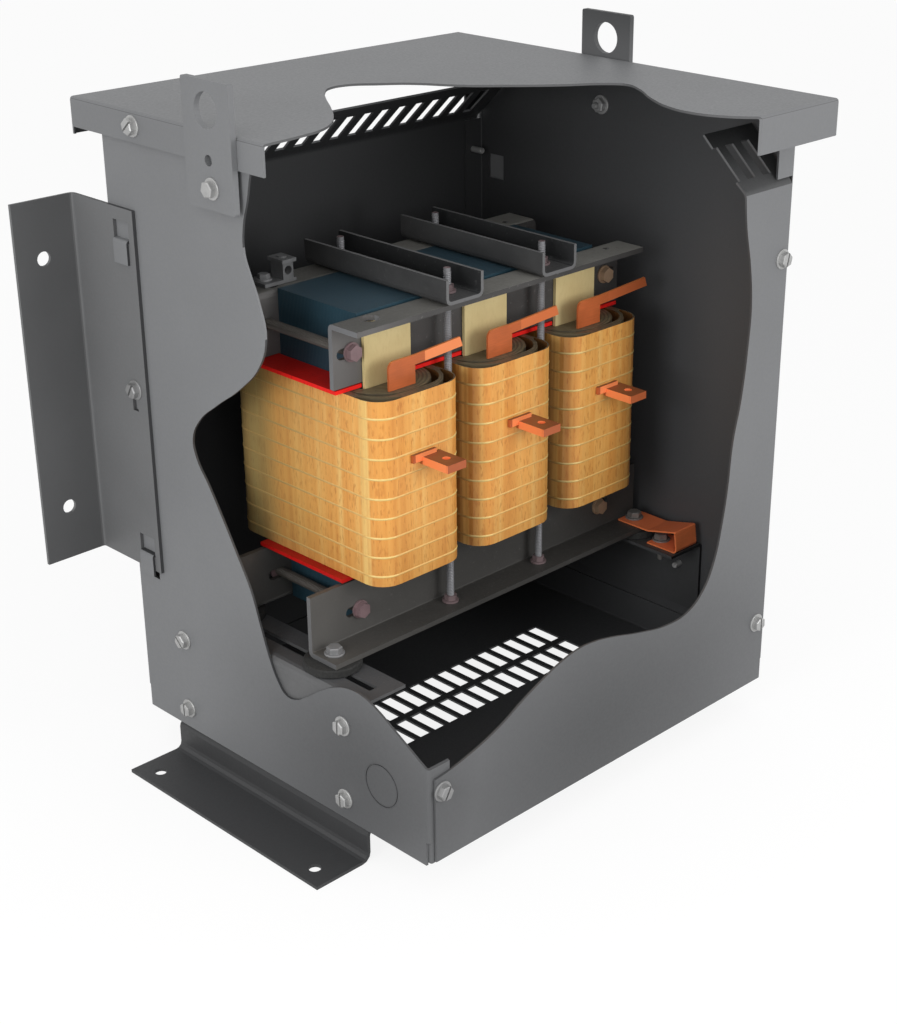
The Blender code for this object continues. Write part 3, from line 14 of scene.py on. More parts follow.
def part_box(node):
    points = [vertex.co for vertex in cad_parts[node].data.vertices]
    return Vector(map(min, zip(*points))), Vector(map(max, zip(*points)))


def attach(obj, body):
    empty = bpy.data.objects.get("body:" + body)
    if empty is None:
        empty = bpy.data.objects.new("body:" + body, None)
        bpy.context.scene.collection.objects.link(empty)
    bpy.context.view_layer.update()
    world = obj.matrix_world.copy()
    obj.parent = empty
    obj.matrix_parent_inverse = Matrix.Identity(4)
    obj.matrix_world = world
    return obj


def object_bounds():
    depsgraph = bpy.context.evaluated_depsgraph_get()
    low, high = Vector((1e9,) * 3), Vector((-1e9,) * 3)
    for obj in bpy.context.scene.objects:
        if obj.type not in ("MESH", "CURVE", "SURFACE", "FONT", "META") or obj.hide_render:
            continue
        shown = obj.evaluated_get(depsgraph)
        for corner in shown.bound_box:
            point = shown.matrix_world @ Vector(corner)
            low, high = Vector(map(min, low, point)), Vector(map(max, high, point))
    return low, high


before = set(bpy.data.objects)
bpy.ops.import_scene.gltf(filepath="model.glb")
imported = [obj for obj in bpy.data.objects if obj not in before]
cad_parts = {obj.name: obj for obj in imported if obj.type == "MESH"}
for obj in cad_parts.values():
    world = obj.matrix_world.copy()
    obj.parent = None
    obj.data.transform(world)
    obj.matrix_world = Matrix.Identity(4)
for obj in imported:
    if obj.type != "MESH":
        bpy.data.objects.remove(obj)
cad_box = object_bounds()

MM = 0.001

# The photograph's frame and camera
IMAGE_WIDTH = 897
IMAGE_HEIGHT = 1024
SENSOR = 36.0
FOCAL_PIXELS = 1841.1
PRINCIPAL_X = 521.5
PRINCIPAL_Y = 521.5
CAMERA_PLACE = Vector((-1.0657, -1.1012, 0.8974))
CAMERA_AZIMUTH = math.radians(43.645)
CAMERA_ELEVATION = math.radians(-24.3305)
CAMERA_ROLL = math.radians(0.3947)

# Light
WHITE = (1.0, 1.0, 1.0)
WORLD_LEVEL = 0.62
FLOOR_SIZE = 40.0
FLOOR_COLOUR = (0.55, 0.55, 0.55)
FLOOR_SHADE = (0.15, 0.15, 0.15)
FLOOR_GLOW = 0.87

# Lamps: name, place, target, size and level
LAMPS = (
    ("left_lamp", (-1.45, -0.42, 0.72), (-0.22, 0.0, 0.35), 0.6, 0.38),
    ("front_lamp", (0.30, -1.35, 0.72), (0.0, -0.19, 0.35), 0.6, 0.38),
    ("eye_lamp", (-1.0, -1.25, 1.15), (-0.05, -0.05, 0.30), 0.8, 0.08),
)

# Fasteners
WASHER_RADIUS = 0.0088
WASHER_HEIGHT = 0.0014
WASHER_EDGE = 0.0004
WASHER_EDGE_RISE = 0.7
WASHER_SIDES = 36
HEX_RADIUS = 0.0069
HEX_HEIGHT = 0.0052
HEX_CHAMFER = 0.0008
HEX_TOP_SHARE = 0.86
SLOT_WIDTH = 0.0019
SLOT_DEPTH = 0.0022
SHANK_RADIUS = 0.0030
SHANK_END_SHARE = 0.8
SHANK_SIDES = 16
SHANK_LENGTH = 0.014
LONG_SHANK = 0.018
PAD_SHANK = 0.021
LUG_SHANK = 0.004
BOLT_TIP = 0.0045
SMALL_SHARE = 0.78
SEAT_GAP = 0.0001

# Fasteners of the sides: back and up on the case, and the turn of the head in degrees
WALL_SCREWS = ((101, 90, 88), (101, 20, 93), (315, 90, 135), (315, 20, 92))
COVER_SCREW = (326.3, 548.3, 42)
BRACKET_SCREW = (353.4, 318.6, 60)
LUG_BOLT = (219.4, 517.7, 12)
LUG_NUT = (219.4, 517.7, 20)
RIGHT_COVER_SCREW = (50, 548.3, 30)

# Bolts of the core and coils, each with its mesh, steel, place on the case and turn
CLAMP_BOLTS = (
    ("pad_bolt_front_left", "pad", "pad", (28, 141.5, 131.5), 17),
    ("pad_bolt_front_right", "strap", "strap", (412, 141.5, 133.3), 17),
    ("pad_bolt_back_left", "pad", "pad", (28, 272, 131.5), 40),
    ("pad_bolt_back_right", "pad", "pad", (412, 272, 131.5), 25),
    ("strap_bolt", "strap", "strap", (412, 107, 120.7), 28),
    ("ground_lug_bolt", "lug", "pad", (80.9, 277.3, 414.3), 15),
)

# Faces that the fasteners sit on, in millimetres across or back
WALL_FACE = 0.0
WALL_SHEET = 2.0
PANEL_FACE = -2.3
HEM_FACE = -4.0
BRACKET_FACE = -3.3
LUG_FACE = -9.3

# Windings
BAND_COUNT = 9
BAND_FIRST = 0.0149
BAND_PITCH = 0.0174
BAND_HALF_HEIGHT = 0.0013
BAND_PROUD = 0.0004
BAND_SHOULDER_OUT = 0.6
BAND_SHOULDER_UP = 0.55
HOOP_BITE = 0.0003
HOOP_STEPS = 8
COIL_CORNER = 0.020
OUTER_TURN = 0.0026
INNER_TURN = 0.0034
WRAP_SHIFT = 1.7

# Painted shade of each coil's wrap, as levels at the left, in the middle and at the right
WRAP_SHADE_LEVELS = {"1": (1.0, 1.0, 0.92), "2": (0.42, 0.98, 0.66), "3": (0.36, 0.84, 0.50)}

# How far in from the sides this painted shade changes, and how far up from the foot the wrap is darker
LEFT_REACH = 0.015
RIGHT_START = 0.040
RIGHT_STOP = 0.002
DIM_FOOT = 0.06

# Depths on the case at which the wrap's painted highlight and painted shade change
CORNER_HIGHLIGHT_START = 0.1275
CORNER_HIGHLIGHT_WIDTH = 0.0085
BACK_SHADE_START = 0.150
BACK_SHADE_STOP = 0.290
DEEP_SHADE_START = 0.240
DEEP_SHADE_STOP = 0.262
TAPE_SHADE_START = 0.125
TAPE_SHADE_STOP = 0.250

# Threads
THREAD_PITCH = 0.0015
THREAD_PROUD = 0.0004
THREAD_FLANK = 0.45
THREAD_STEPS = 12
TIE_ROD_RADIUS = 0.003
CORE_BOLT_RADIUS = 0.004
HEAD_MARGIN = 0.0005

# Other sizes that the looks follow
PAN_CLEARANCE = 0.0023
CASE_MIDDLE_UP = 0.28
STRIP_BEND_UP = 0.485
COVER_TOP_UP = 0.558
LUG_FOOT_UP = 0.05
FRONT_EDGE_REACH = 0.002
CHANNEL_RIM = 0.001
LAMINATION = 0.0018
# Where the painted light on the leads begins and on the terminals ends
LIT_LEAD_START = 0.040
LIT_TERMINAL_STOP = 0.010
BORE_MARGIN = 0.0025
KNOCKOUT_RADIUS = 0.0189
KNOCKOUT_BAND = (0.0008, 0.0026)
KNOCKOUT_SHADE_LEVEL = 0.86
SHADE_DEPTH = 0.55

# Most of a noise's values lie between these
NOISE_LOW = 0.3
NOISE_HIGH = 0.7

# Paints
CASE_GRAY = (0.221, 0.225, 0.232)
CASE_INSIDE = (0.046, 0.047, 0.049)
# Painted shade of the inside: levels along the case's depth, lighter at the front and darker towards the back
INSIDE_SHADE_TONES = ((0.0, 1.55), (0.18, 1.60), (0.45, 1.25), (0.8, 1.02), (1.0, 0.92))
SAWN_EDGE = (0.125, 0.127, 0.130)
# Painted shade under the cover on the front panel's slanted strip, at its foot and its top
STRIP_FOOT_SHADE = (0.080, 0.081, 0.083)
STRIP_TOP_SHADE = (0.034, 0.035, 0.036)
# Painted shade on the right lifting lug's inner face, at its foot and its top
RIGHT_LUG_FOOT_SHADE = (0.155, 0.157, 0.161)
RIGHT_LUG_TOP_SHADE = (0.074, 0.076, 0.078)
BRACKET_GRAY = (0.150, 0.152, 0.155)
BRACKET_EDGE = (0.060, 0.061, 0.063)
FOOT_GRAY = (0.064, 0.065, 0.067)
FOOT_EDGE = (0.052, 0.053, 0.055)
# The cross channels: outside partly painted shade under the cover, inside painted shade, rims and cut ends a
# painted highlight
CHANNEL_DARK = (0.052, 0.052, 0.053)
CHANNEL_LIGHT = (0.072, 0.072, 0.072)
CHANNEL_INSIDE_SHADE = (0.024, 0.025, 0.026)
CHANNEL_EDGE_HIGHLIGHT = (0.150, 0.150, 0.152)
CHANNEL_FLECK = (0.10, 0.10, 0.10)

# Faces, tops and cut ends of painted steel, the cut ends lighter as a painted highlight except on the right
# rail
LEFT_RAIL = ((0.115, 0.116, 0.118), (0.080, 0.081, 0.084), (0.130, 0.130, 0.132))
# The right rail is the left rail's paint in darker copies, painted shade
RIGHT_RAIL_SHADED = ((0.050, 0.051, 0.053), (0.055, 0.055, 0.054), (0.012, 0.012, 0.013))
BOTTOM_CLAMP = ((0.100, 0.096, 0.090), (0.078, 0.074, 0.068), (0.125, 0.125, 0.128))
TOP_CLAMP = ((0.140, 0.134, 0.130), (0.125, 0.122, 0.113), (0.180, 0.182, 0.188))

# Places across between which painted shade darkens a clamp's paint and painted light brightens the top
# clamp's top, and its level at the second
LOWER_FACE_SHADE = (-0.19, -0.06, 0.58)
LOWER_TOP_SHADE = (-0.19, -0.06, 0.62)
UPPER_FACE_SHADE = (-0.155, -0.10, 0.42)
UPPER_TOP_LIGHT = (-0.15, 0.12, 2.2)

# Levels of single pieces, painted shade below one and painted light above one
# The cover and the front panel take the walls' paint, darkened as painted shade
COVER_SHADE_LEVEL = 0.97
FRONT_PANEL_SHADE_LEVEL = 0.93
BRACKET_SHADING_LEVELS = (0.76, 1.14)
FOOT_SHADING_LEVELS = (1.0, 0.80)
BOTTOM_RED_SHADE_LEVEL = 0.78
TOP_RED_LIGHT_LEVEL = 1.25

# Core lacquer, each pair from dark to light
LACQUER_TOP = ((0.021, 0.054, 0.078), (0.034, 0.074, 0.103))
LACQUER_END = ((0.022, 0.058, 0.082), (0.032, 0.076, 0.104))
LACQUER_LINE = (0.052, 0.084, 0.104)
LACQUER_RUST = (0.070, 0.056, 0.045)

# Metals
ZINC = (0.44, 0.44, 0.435)
# Zinc darkened as painted shade, for screws that sit in shade
SHADED_ZINC = (0.30, 0.30, 0.30)
PAD_STEEL = (0.27, 0.27, 0.275)
# Steel darker and warmer than the pad bolts' as painted shade and a painted reflection of the copper strap
SHADED_STRAP_STEEL = (0.20, 0.190, 0.180)
ROD_STEEL = (0.33, 0.33, 0.345)
BOLT_STEEL = (0.105, 0.094, 0.082)
LUG_ALLOY = (0.175, 0.177, 0.180)
LEFT_HEADS = (0.240, 0.160, 0.168)
# Mauve plating of the right core bolts' heads, warmed and lightened by a painted reflection of the coils
RIGHT_HEADS_WITH_REFLECTION = (0.36, 0.245, 0.160)
CORE_BOLT_SHANK = (0.050, 0.044, 0.037)
TIE_ROD_HEADS = (0.200, 0.145, 0.150)
TIE_ROD_SHANK = (0.215, 0.215, 0.225)
LEAD_FACE = (0.60, 0.145, 0.042)
LEAD_TOP = (0.84, 0.260, 0.076)
# Copper lit as painted light: in the terminals' bores and on the leads' ends, less on the deeper coils
LIT_COPPER = (1.0, 0.300, 0.105)
LEAD_LIT_ENDS = {"1": LIT_COPPER, "2": (0.78, 0.200, 0.062), "3": (0.62, 0.150, 0.046)}
TERMINAL_FACE = (0.52, 0.135, 0.040)
TERMINAL_TOP = (0.260, 0.086, 0.034)
# The terminals' front ends lit as painted light
TERMINAL_LIT_END = (0.92, 0.260, 0.095)
TERMINAL_FRONT = (0.48, 0.118, 0.040)
# The bonding strap's copper, brighter than the leads' as painted light over the shade it sits in
STRAP_LIT_FACE = (0.98, 0.250, 0.086)
STRAP_LIT_TOP = (0.940, 0.230, 0.086)

# Insulation
PAD_RUBBER = (0.037, 0.037, 0.036)
WRAP_GOLDS = (
    (0.34, (0.74, 0.295, 0.058)), (0.44, (0.86, 0.385, 0.085)),
    (0.54, (0.94, 0.475, 0.118)), (0.66, (0.98, 0.600, 0.190)),
)
WRAP_STREAK = (0.78, 0.320, 0.064)
WRAP_PORE = (0.56, 0.190, 0.032)
WRAP_DASH = (0.60, 0.205, 0.034)
# Painted highlight on the wrap where its front left corner begins to turn
WRAP_CORNER_HIGHLIGHT = (0.97, 0.68, 0.23)
WRAP_LIP_SHADE = (0.130, 0.058, 0.018)
WRAP_CORE = (0.125, 0.100, 0.060)
WRAP_END = ((0.120, 0.095, 0.058), (0.190, 0.155, 0.092))
WRAP_RING = (0.066, 0.056, 0.042)
# Painted shade of the wrap deep in the case
BACK_SHADE_TINT = (0.40, 0.300, 0.130)
BACK_SHADE_KHAKI = (0.52, 0.375, 0.150)
DEEP_SHADE_TINT = (0.66, 0.80, 0.95)
INNER_END = ((0.135, 0.110, 0.066), (0.205, 0.170, 0.102))
INNER_RING = (0.070, 0.058, 0.042)
TAPE_FLAT = ((0.86, 0.490, 0.140), (0.95, 0.590, 0.190))
TAPE_CORNER_HIGHLIGHT = ((0.97, 0.680, 0.215), (1.00, 0.760, 0.290))
TAPE_BACK_SHADE = (0.46, 0.310, 0.115)
RED = ((0.44, 0.010, 0.007), (0.56, 0.015, 0.010))
RED_EDGE = (0.76, 0.014, 0.011)
RED_WEAVE = (0.34, 0.007, 0.005)
CREAM = ((0.70, 0.560, 0.270), (0.80, 0.660, 0.340))
CREAM_FIBRE = (0.60, 0.455, 0.205)

LEFT = Vector((-1, 0, 0))
RIGHT = Vector((1, 0, 0))
FRONT = Vector((0, -1, 0))
BACK = Vector((0, 1, 0))
UP = Vector((0, 0, 1))

side_low, side_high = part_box("left_side_panel")
pan_low, pan_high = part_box("base_pan")
CASE_CORNER = Vector((pan_low.x - PAN_CLEARANCE, side_low.y, pan_low.z))
CASE_WIDTH = pan_high.x - pan_low.x + 2 * PAN_CLEARANCE
CASE_DEPTH = side_high.y - side_low.y
CASE_CENTRE = Vector((0.0, CASE_CORNER.y + CASE_DEPTH / 2, CASE_CORNER.z + CASE_MIDDLE_UP))


def on_case(across, back, up):
    """A point of the case, counted in millimetres from its front left bottom corner."""
    return CASE_CORNER + Vector((across, back, up)) * MM


# Painted shade over the lower front left of the case: where it is darkest, and how far it reaches each way
LEFT_SHADE = (on_case(0, 75, 60), (0.20, 0.25, 0.17))
FRONT_SHADE = (on_case(210, 0, 45), (0.38, 0.10, 0.22))
KNOCKOUT_CENTRE = on_case(0, 55.2, 52.6)


def tone(colour, level):
    return tuple(channel * level for channel in colour)


def rgba(colour):
    return (*colour, 1.0)


class Look:
    """A node material in the making: its tree, its shader and short ways to add nodes.

    Across, back and up say where a point lies. Turned has the three parts of its normal, and square has
    their sizes without the sign.
    """

    def __init__(self, name, roughness, metallic=0.0, specular=0.5):
        self.material = bpy.data.materials.new(name)
        self.material.use_nodes = True
        self.tree = self.material.node_tree
        self.shader = self.tree.nodes["Principled BSDF"]
        self.shader.inputs["Roughness"].default_value = roughness
        self.shader.inputs["Metallic"].default_value = metallic
        self.shader.inputs["Specular IOR Level"].default_value = specular
        coordinates = self.tree.nodes.new("ShaderNodeTexCoord")
        self.at = coordinates.outputs["Object"]
        self.normal = coordinates.outputs["Normal"]
        self.across, self.back, self.up = self.parts(self.at)
        self.turned = self.parts(self.normal)
        self.square = self.parts(self.vectors("ABSOLUTE", self.normal))

    def put(self, socket, value):
        if isinstance(value, bpy.types.NodeSocket):
            self.tree.links.new(value, socket)
        elif socket.type == "RGBA":
            socket.default_value = rgba(value)
        else:
            socket.default_value = value

    def noise(self, scale, detail=2.0, rough=0.5, stretch=(1.0, 1.0, 1.0), shift=(0.0, 0.0, 0.0)):
        mapping = self.tree.nodes.new("ShaderNodeMapping")
        mapping.inputs["Scale"].default_value = stretch
        mapping.inputs["Location"].default_value = shift
        self.put(mapping.inputs["Vector"], self.at)
        node = self.tree.nodes.new("ShaderNodeTexNoise")
        self.put(node.inputs["Vector"], mapping.outputs["Vector"])
        node.inputs["Scale"].default_value = scale
        node.inputs["Detail"].default_value = detail
        node.inputs["Roughness"].default_value = rough
        return node.outputs["Fac"]

    def maths(self, operation, first, second=0.0):
        node = self.tree.nodes.new("ShaderNodeMath")
        node.operation = operation
        self.put(node.inputs[0], first)
        self.put(node.inputs[1], second)
        return node.outputs[0]

    def times(self, first, *others):
        for other in others:
            first = self.maths("MULTIPLY", first, other)
        return first

    def rest(self, share):
        """What a share leaves of one."""
        return self.maths("SUBTRACT", 1.0, share)

    def waves(self, value, length):
        return self.maths("SINE", self.times(value, 2 * math.pi / length))

    def vectors(self, operation, first, second=None):
        node = self.tree.nodes.new("ShaderNodeVectorMath")
        node.operation = operation
        self.put(node.inputs[0], first)
        if second is not None:
            self.put(node.inputs[1], second)
        return node.outputs["Value" if operation in ("DOT_PRODUCT", "LENGTH") else "Vector"]

    def away_from(self, centre):
        return self.vectors("SUBTRACT", self.at, tuple(centre))

    def parts(self, vector):
        node = self.tree.nodes.new("ShaderNodeSeparateXYZ")
        self.put(node.inputs[0], vector)
        return node.outputs

    def ramp(self, value, *stops):
        node = self.tree.nodes.new("ShaderNodeValToRGB")
        elements = node.color_ramp.elements
        for index, (position, colour) in enumerate(stops):
            element = elements[index] if index < 2 else elements.new(position)
            element.position = position
            element.color = rgba(colour)
        self.put(node.inputs["Fac"], value)
        return node.outputs["Color"]

    def between(self, noise, dark, light):
        """A colour that wanders with a noise between two others."""
        return self.ramp(noise, (NOISE_LOW, dark), (NOISE_HIGH, light))

    def mottled(self, noise, colour, low_level, high_level):
        return self.between(noise, tone(colour, low_level), tone(colour, high_level))

    def steps(self, value, low, high, to_low=0.0, to_high=1.0, soft=False):
        node = self.tree.nodes.new("ShaderNodeMapRange")
        if soft:
            node.interpolation_type = "SMOOTHSTEP"
        self.put(node.inputs["Value"], value)
        ends = {"From Min": low, "From Max": high, "To Min": to_low, "To Max": to_high}
        for name, number in ends.items():
            node.inputs[name].default_value = number
        return node.outputs["Result"]

    def spread(self, noise, to_low, to_high):
        """A number that wanders with a noise between two others."""
        return self.steps(noise, NOISE_LOW, NOISE_HIGH, to_low, to_high)

    def above(self, value, limit, soft=0.02):
        """One where the value is over the limit, zero where it is under."""
        return self.steps(value, limit - soft, limit + soft)

    def near(self, centre, reach):
        """One at a centre, falling softly to zero at that reach along each axis."""
        away = self.vectors("DIVIDE", self.away_from(centre), reach)
        return self.steps(self.vectors("LENGTH", away), 0.0, 1.0, 1.0, 0.0, soft=True)

    def dim(self, colour, level):
        scaled = self.vectors("SCALE", colour)
        self.put(scaled.node.inputs["Scale"], level)
        return scaled

    def mix(self, factor, first, second, blend="MIX"):
        node = self.tree.nodes.new("ShaderNodeMix")
        node.data_type = "RGBA"
        node.blend_type = blend
        self.put(node.inputs["Factor"], factor)
        self.put(node.inputs[6], first)
        self.put(node.inputs[7], second)
        return node.outputs[2]

    def colour(self, value):
        self.put(self.shader.inputs["Base Color"], value)

    def rough(self, value):
        self.put(self.shader.inputs["Roughness"], value)

    def bump(self, height, strength, distance):
        node = self.tree.nodes.new("ShaderNodeBump")
        node.inputs["Strength"].default_value = strength
        node.inputs["Distance"].default_value = distance
        self.put(node.inputs["Height"], height)
        self.put(self.shader.inputs["Normal"], node.outputs["Normal"])

    def orange_peel(self):
        """The fine unevenness of a powder coat."""
        fine = self.noise(420.0)
        self.rough(self.spread(fine, 0.48, 0.62))
        self.bump(fine, 0.12, 0.0004)

    def flecked(self, paint, fleck, share):
        """A paint's colour with small lighter flecks, which roughen it too."""
        flecks = self.noise(300.0, 3.0)
        self.colour(self.mix(self.steps(flecks, 0.62, 0.72, 0.0, share), paint, fleck))
        self.rough(self.spread(flecks, 0.42, 0.6))
        self.bump(flecks, 0.1, 0.0003)

    def turning_marks(self, smooth, rough):
        scratches = self.noise(1.0, stretch=(900.0, 900.0, 120.0))
        self.rough(self.spread(scratches, smooth, rough))
        self.bump(scratches, 0.08, 0.0002)


def powder_coat(name, outside, inside=None, cut=None, strip=None, ring=None):
    """Powder-coated sheet: faint clouds, orange peel and painted shade over the lower front left of the case;
    dark on the inside, with painted shade that deepens towards the back.

    A cut gives the tone of a flat sheet's sawn edges, and its lowest height. A strip gives the painted shade
    of a slanted strip of the sheet under the cover, at the foot and the top, between two heights. A ring
    gives the centre and the radius of a knockout's pressed ring in a side wall, darkened as painted shade in
    its crease.
    """
    look = Look(name, 0.55, specular=0.35)
    clouds = look.noise(7.0, 3.0)
    paint = look.mottled(clouds, outside, 0.96, 1.04)
    # Painted shade that darkens the lower front left of the case
    shade = look.maths("MAXIMUM", look.near(*LEFT_SHADE), look.near(*FRONT_SHADE))
    paint = look.dim(paint, look.rest(look.times(shade, SHADE_DEPTH)))
    # Painted shade in the crease of a knockout's pressed ring
    if ring is not None:
        centre, radius = ring
        reach = look.vectors("MULTIPLY", look.away_from(centre), (0.0, 1.0, 1.0))
        off = look.maths("SUBTRACT", look.vectors("LENGTH", reach), radius)
        band = look.steps(look.maths("ABSOLUTE", off), *KNOCKOUT_BAND, 1.0, 0.0)
        band = look.times(look.above(look.square[0], 0.9), band)
        paint = look.dim(paint, look.steps(band, 0.0, 1.0, 1.0, KNOCKOUT_SHADE_LEVEL))
    # Inside faces take the dark inside colour, with painted shade that deepens towards the back
    if inside is not None:
        inward = look.vectors("SUBTRACT", tuple(CASE_CENTRE), look.at)
        facing_in = look.vectors("DOT_PRODUCT", inward, look.normal)
        share = look.steps(look.back, CASE_CORNER.y, CASE_CORNER.y + CASE_DEPTH)
        depth = look.maths("ADD", share, look.spread(clouds, -0.03, 0.03))
        inner = look.ramp(depth, *((place, tone(inside, level)) for place, level in INSIDE_SHADE_TONES))
        paint = look.mix(look.steps(facing_in, -0.001, 0.001), paint, inner)
    # Painted shade under the cover on the slanted strip, darker towards its top
    if strip is not None:
        foot, top, low, high = strip
        slant = look.above(look.turned[2], 0.35)
        paint = look.mix(slant, paint, look.ramp(look.steps(look.up, low, high), (0.0, foot), (1.0, top)))
        rims = look.times(look.above(look.square[0], 0.9), look.above(look.up, low))
        paint = look.mix(rims, paint, tone(outside, 0.8))
    if cut is not None:
        colour, low = cut
        sawn = look.times(look.above(look.up, low, 0.0002), look.rest(look.above(look.square[2], 0.3)))
        paint = look.mix(sawn, paint, colour)
    look.colour(paint)
    look.orange_peel()
    return look.material


def shaded_lug_coat(name, foot, top, low, high):
    """A lifting lug's coat with painted shade, whose tone darkens from its foot to its top."""
    look = Look(name, 0.55, specular=0.35)
    clouds = look.noise(12.0, 3.0)
    height = look.maths("ADD", look.steps(look.up, low, high), look.spread(clouds, -0.05, 0.05))
    look.colour(look.ramp(height, (0.0, foot), (1.0, top)))
    look.orange_peel()
    return look.material


def bracket_coat(name, face, edge, front, ear_shading, leg_shading):
    """The brackets' and feet's coat, thin and dark on level cut edges and on those before a place.

    The levels are painted shade and painted light: for faces that look to the front or back, and for those
    that look to a side.
    """
    look = Look(name, 0.55, specular=0.35)
    paint = look.mottled(look.noise(9.0, 3.0), face, 0.93, 1.07)
    # Painted shade and light by which way a face looks
    paint = look.dim(paint, look.steps(look.square[0], 0.1, 0.9, ear_shading, leg_shading))
    ahead = look.rest(look.above(look.back, front, 0.0005))
    cut = look.above(look.maths("MAXIMUM", look.square[2], look.times(look.square[1], ahead)), 0.9)
    look.colour(look.mix(cut, paint, edge))
    look.orange_peel()
    return look.material


def painted_steel(name, colours, cut_axis=0, face_shading=None, top_shading=None):
    """Painted clamps and rails: mottled faces, a browner top and cut ends across one axis in their own tone,
    mostly lighter as a painted highlight.

    A shading gives the places along that axis between which the paint changes, as painted shade where it
    darkens and painted light where it brightens, and its level at the last.
    """
    look = Look(name, 0.5, specular=0.4)
    face, top, cut_end = colours
    clouds = look.noise(22.0, 4.0)
    along = look.parts(look.at)[cut_axis]

    # Painted shade and light along that axis
    def with_shading(colour, shading):
        paint = look.mottled(clouds, colour, 0.9, 1.1)
        if shading is None:
            return paint
        start, stop, level = shading
        return look.dim(paint, look.steps(along, start, stop, 1.0, level))

    paint = look.mix(look.above(look.square[2], 0.8), with_shading(face, face_shading), with_shading(top, top_shading))
    # Cut ends in their own tone, mostly a painted highlight
    paint = look.mix(look.above(look.square[cut_axis], 0.9), paint, cut_end)
    look.flecked(paint, tone(face, 1.3), 0.5)
    return look.material


def channel_paint(name, low, high):
    """The cross channels: dark outside, partly as painted shade under the cover, near black inside as painted
    shade, with rims and cut ends lighter as a painted highlight.
    """
    look = Look(name, 0.5, specular=0.4)
    outward = look.parts(look.away_from((low + high) / 2))[0]
    outside = look.between(look.noise(26.0, 4.0), CHANNEL_DARK, CHANNEL_LIGHT)
    turned_out = look.above(look.times(outward, look.turned[0]), -0.001, 0.0005)
    paint = look.mix(turned_out, CHANNEL_INSIDE_SHADE, outside)
    at_rim = look.above(look.up, high.z - CHANNEL_RIM, 0.0003)
    rims = look.times(at_rim, look.above(look.square[2], 0.6))
    edges = look.maths("MAXIMUM", rims, look.above(look.square[1], 0.9))
    look.flecked(look.mix(edges, paint, CHANNEL_EDGE_HIGHLIGHT), CHANNEL_FLECK, 0.4)
    return look.material


def rubber(name):
    look = Look(name, 0.8, specular=0.2)
    grain = look.noise(500.0, 3.0)
    look.colour(look.mottled(grain, PAD_RUBBER, 0.8, 1.2))
    look.bump(grain, 0.3, 0.0003)
    return look.material


def core_lacquer(name):
    """Blue lacquer over a stack of laminations, whose edges run as fine lines along the yokes."""
    look = Look(name, 0.42, specular=0.4)
    uneven = look.noise(1.0, stretch=(30.0, 900.0, 30.0))
    clouds = look.noise(14.0, 3.0)
    rust = look.noise(210.0, 3.0, stretch=(1.0, 2.2, 1.0))
    lines = look.maths("ADD", look.waves(look.back, LAMINATION), uneven)
    lacquer = look.mix(look.steps(lines, 0.2, 1.4), look.between(clouds, *LACQUER_TOP), LACQUER_LINE)
    lacquer = look.mix(look.steps(rust, 0.60, 0.72, 0.0, 0.55), lacquer, LACQUER_RUST)
    look.colour(look.mix(look.above(look.square[2], 0.5), look.between(clouds, *LACQUER_END), lacquer))
    look.bump(lines, 0.25, 0.0003)
    return look.material


def plated(name, colour, roughness, metallic):
    """Plated steel with fine turning marks and a little cloudiness."""
    look = Look(name, roughness, metallic)
    look.colour(look.mottled(look.noise(90.0, 3.0), colour, 0.85, 1.12))
    look.turning_marks(roughness - 0.07, roughness + 0.12)
    return look.material


def headed_rod(name, low, high, axis, shank_radius, heads, shank):
    """A threaded rod whose heads, washers and nuts have another plating than its shank."""
    look = Look(name, 0.5, 0.2, 0.35)
    clouds = look.noise(90.0, 3.0)
    across = tuple(float(other != axis) for other in range(3))
    outward = look.vectors("MULTIPLY", look.away_from((low + high) / 2), across)
    beyond = look.above(look.vectors("LENGTH", outward), shank_radius + HEAD_MARGIN, 0.0001)
    wide = look.maths("MAXIMUM", look.above(look.square[axis], 0.9), beyond)
    bare = look.mottled(clouds, shank, 0.88, 1.1)
    look.colour(look.mix(wide, bare, look.mottled(clouds, heads, 0.88, 1.1)))
    look.turning_marks(0.35, 0.54)
    return look.material


def from_corner(look, low, high, radius):
    """How far a point lies from the axis of the coil's rounded corner, or of a wall as far in."""
    half = (high - low) / 2
    sideways = look.vectors("ABSOLUTE", look.away_from((low + high) / 2))
    corner = look.vectors("SUBTRACT", sideways, (half.x - radius, half.y - radius, 1.0))
    return look.vectors("LENGTH", look.vectors("MAXIMUM", corner, (0.0, 0.0, 0.0)))


def coil_rings(look, low, high, pitch):
    """Waves that follow the coil's rounded outline inwards, one for each turn."""
    return look.waves(from_corner(look, low, high, COIL_CORNER * 2), pitch)


def across_coil(look, colour, low, high, levels):
    """The colour with painted shade, at its levels on the coil's left side, over its middle and on its right
    side.
    """
    left_level, level, right_level = levels
    left = look.steps(look.across, low.x, low.x + LEFT_REACH, left_level, level, soft=True)
    right = look.steps(look.across, high.x - RIGHT_START, high.x - RIGHT_STOP, 1.0, right_level)
    return look.dim(colour, look.times(left, right))


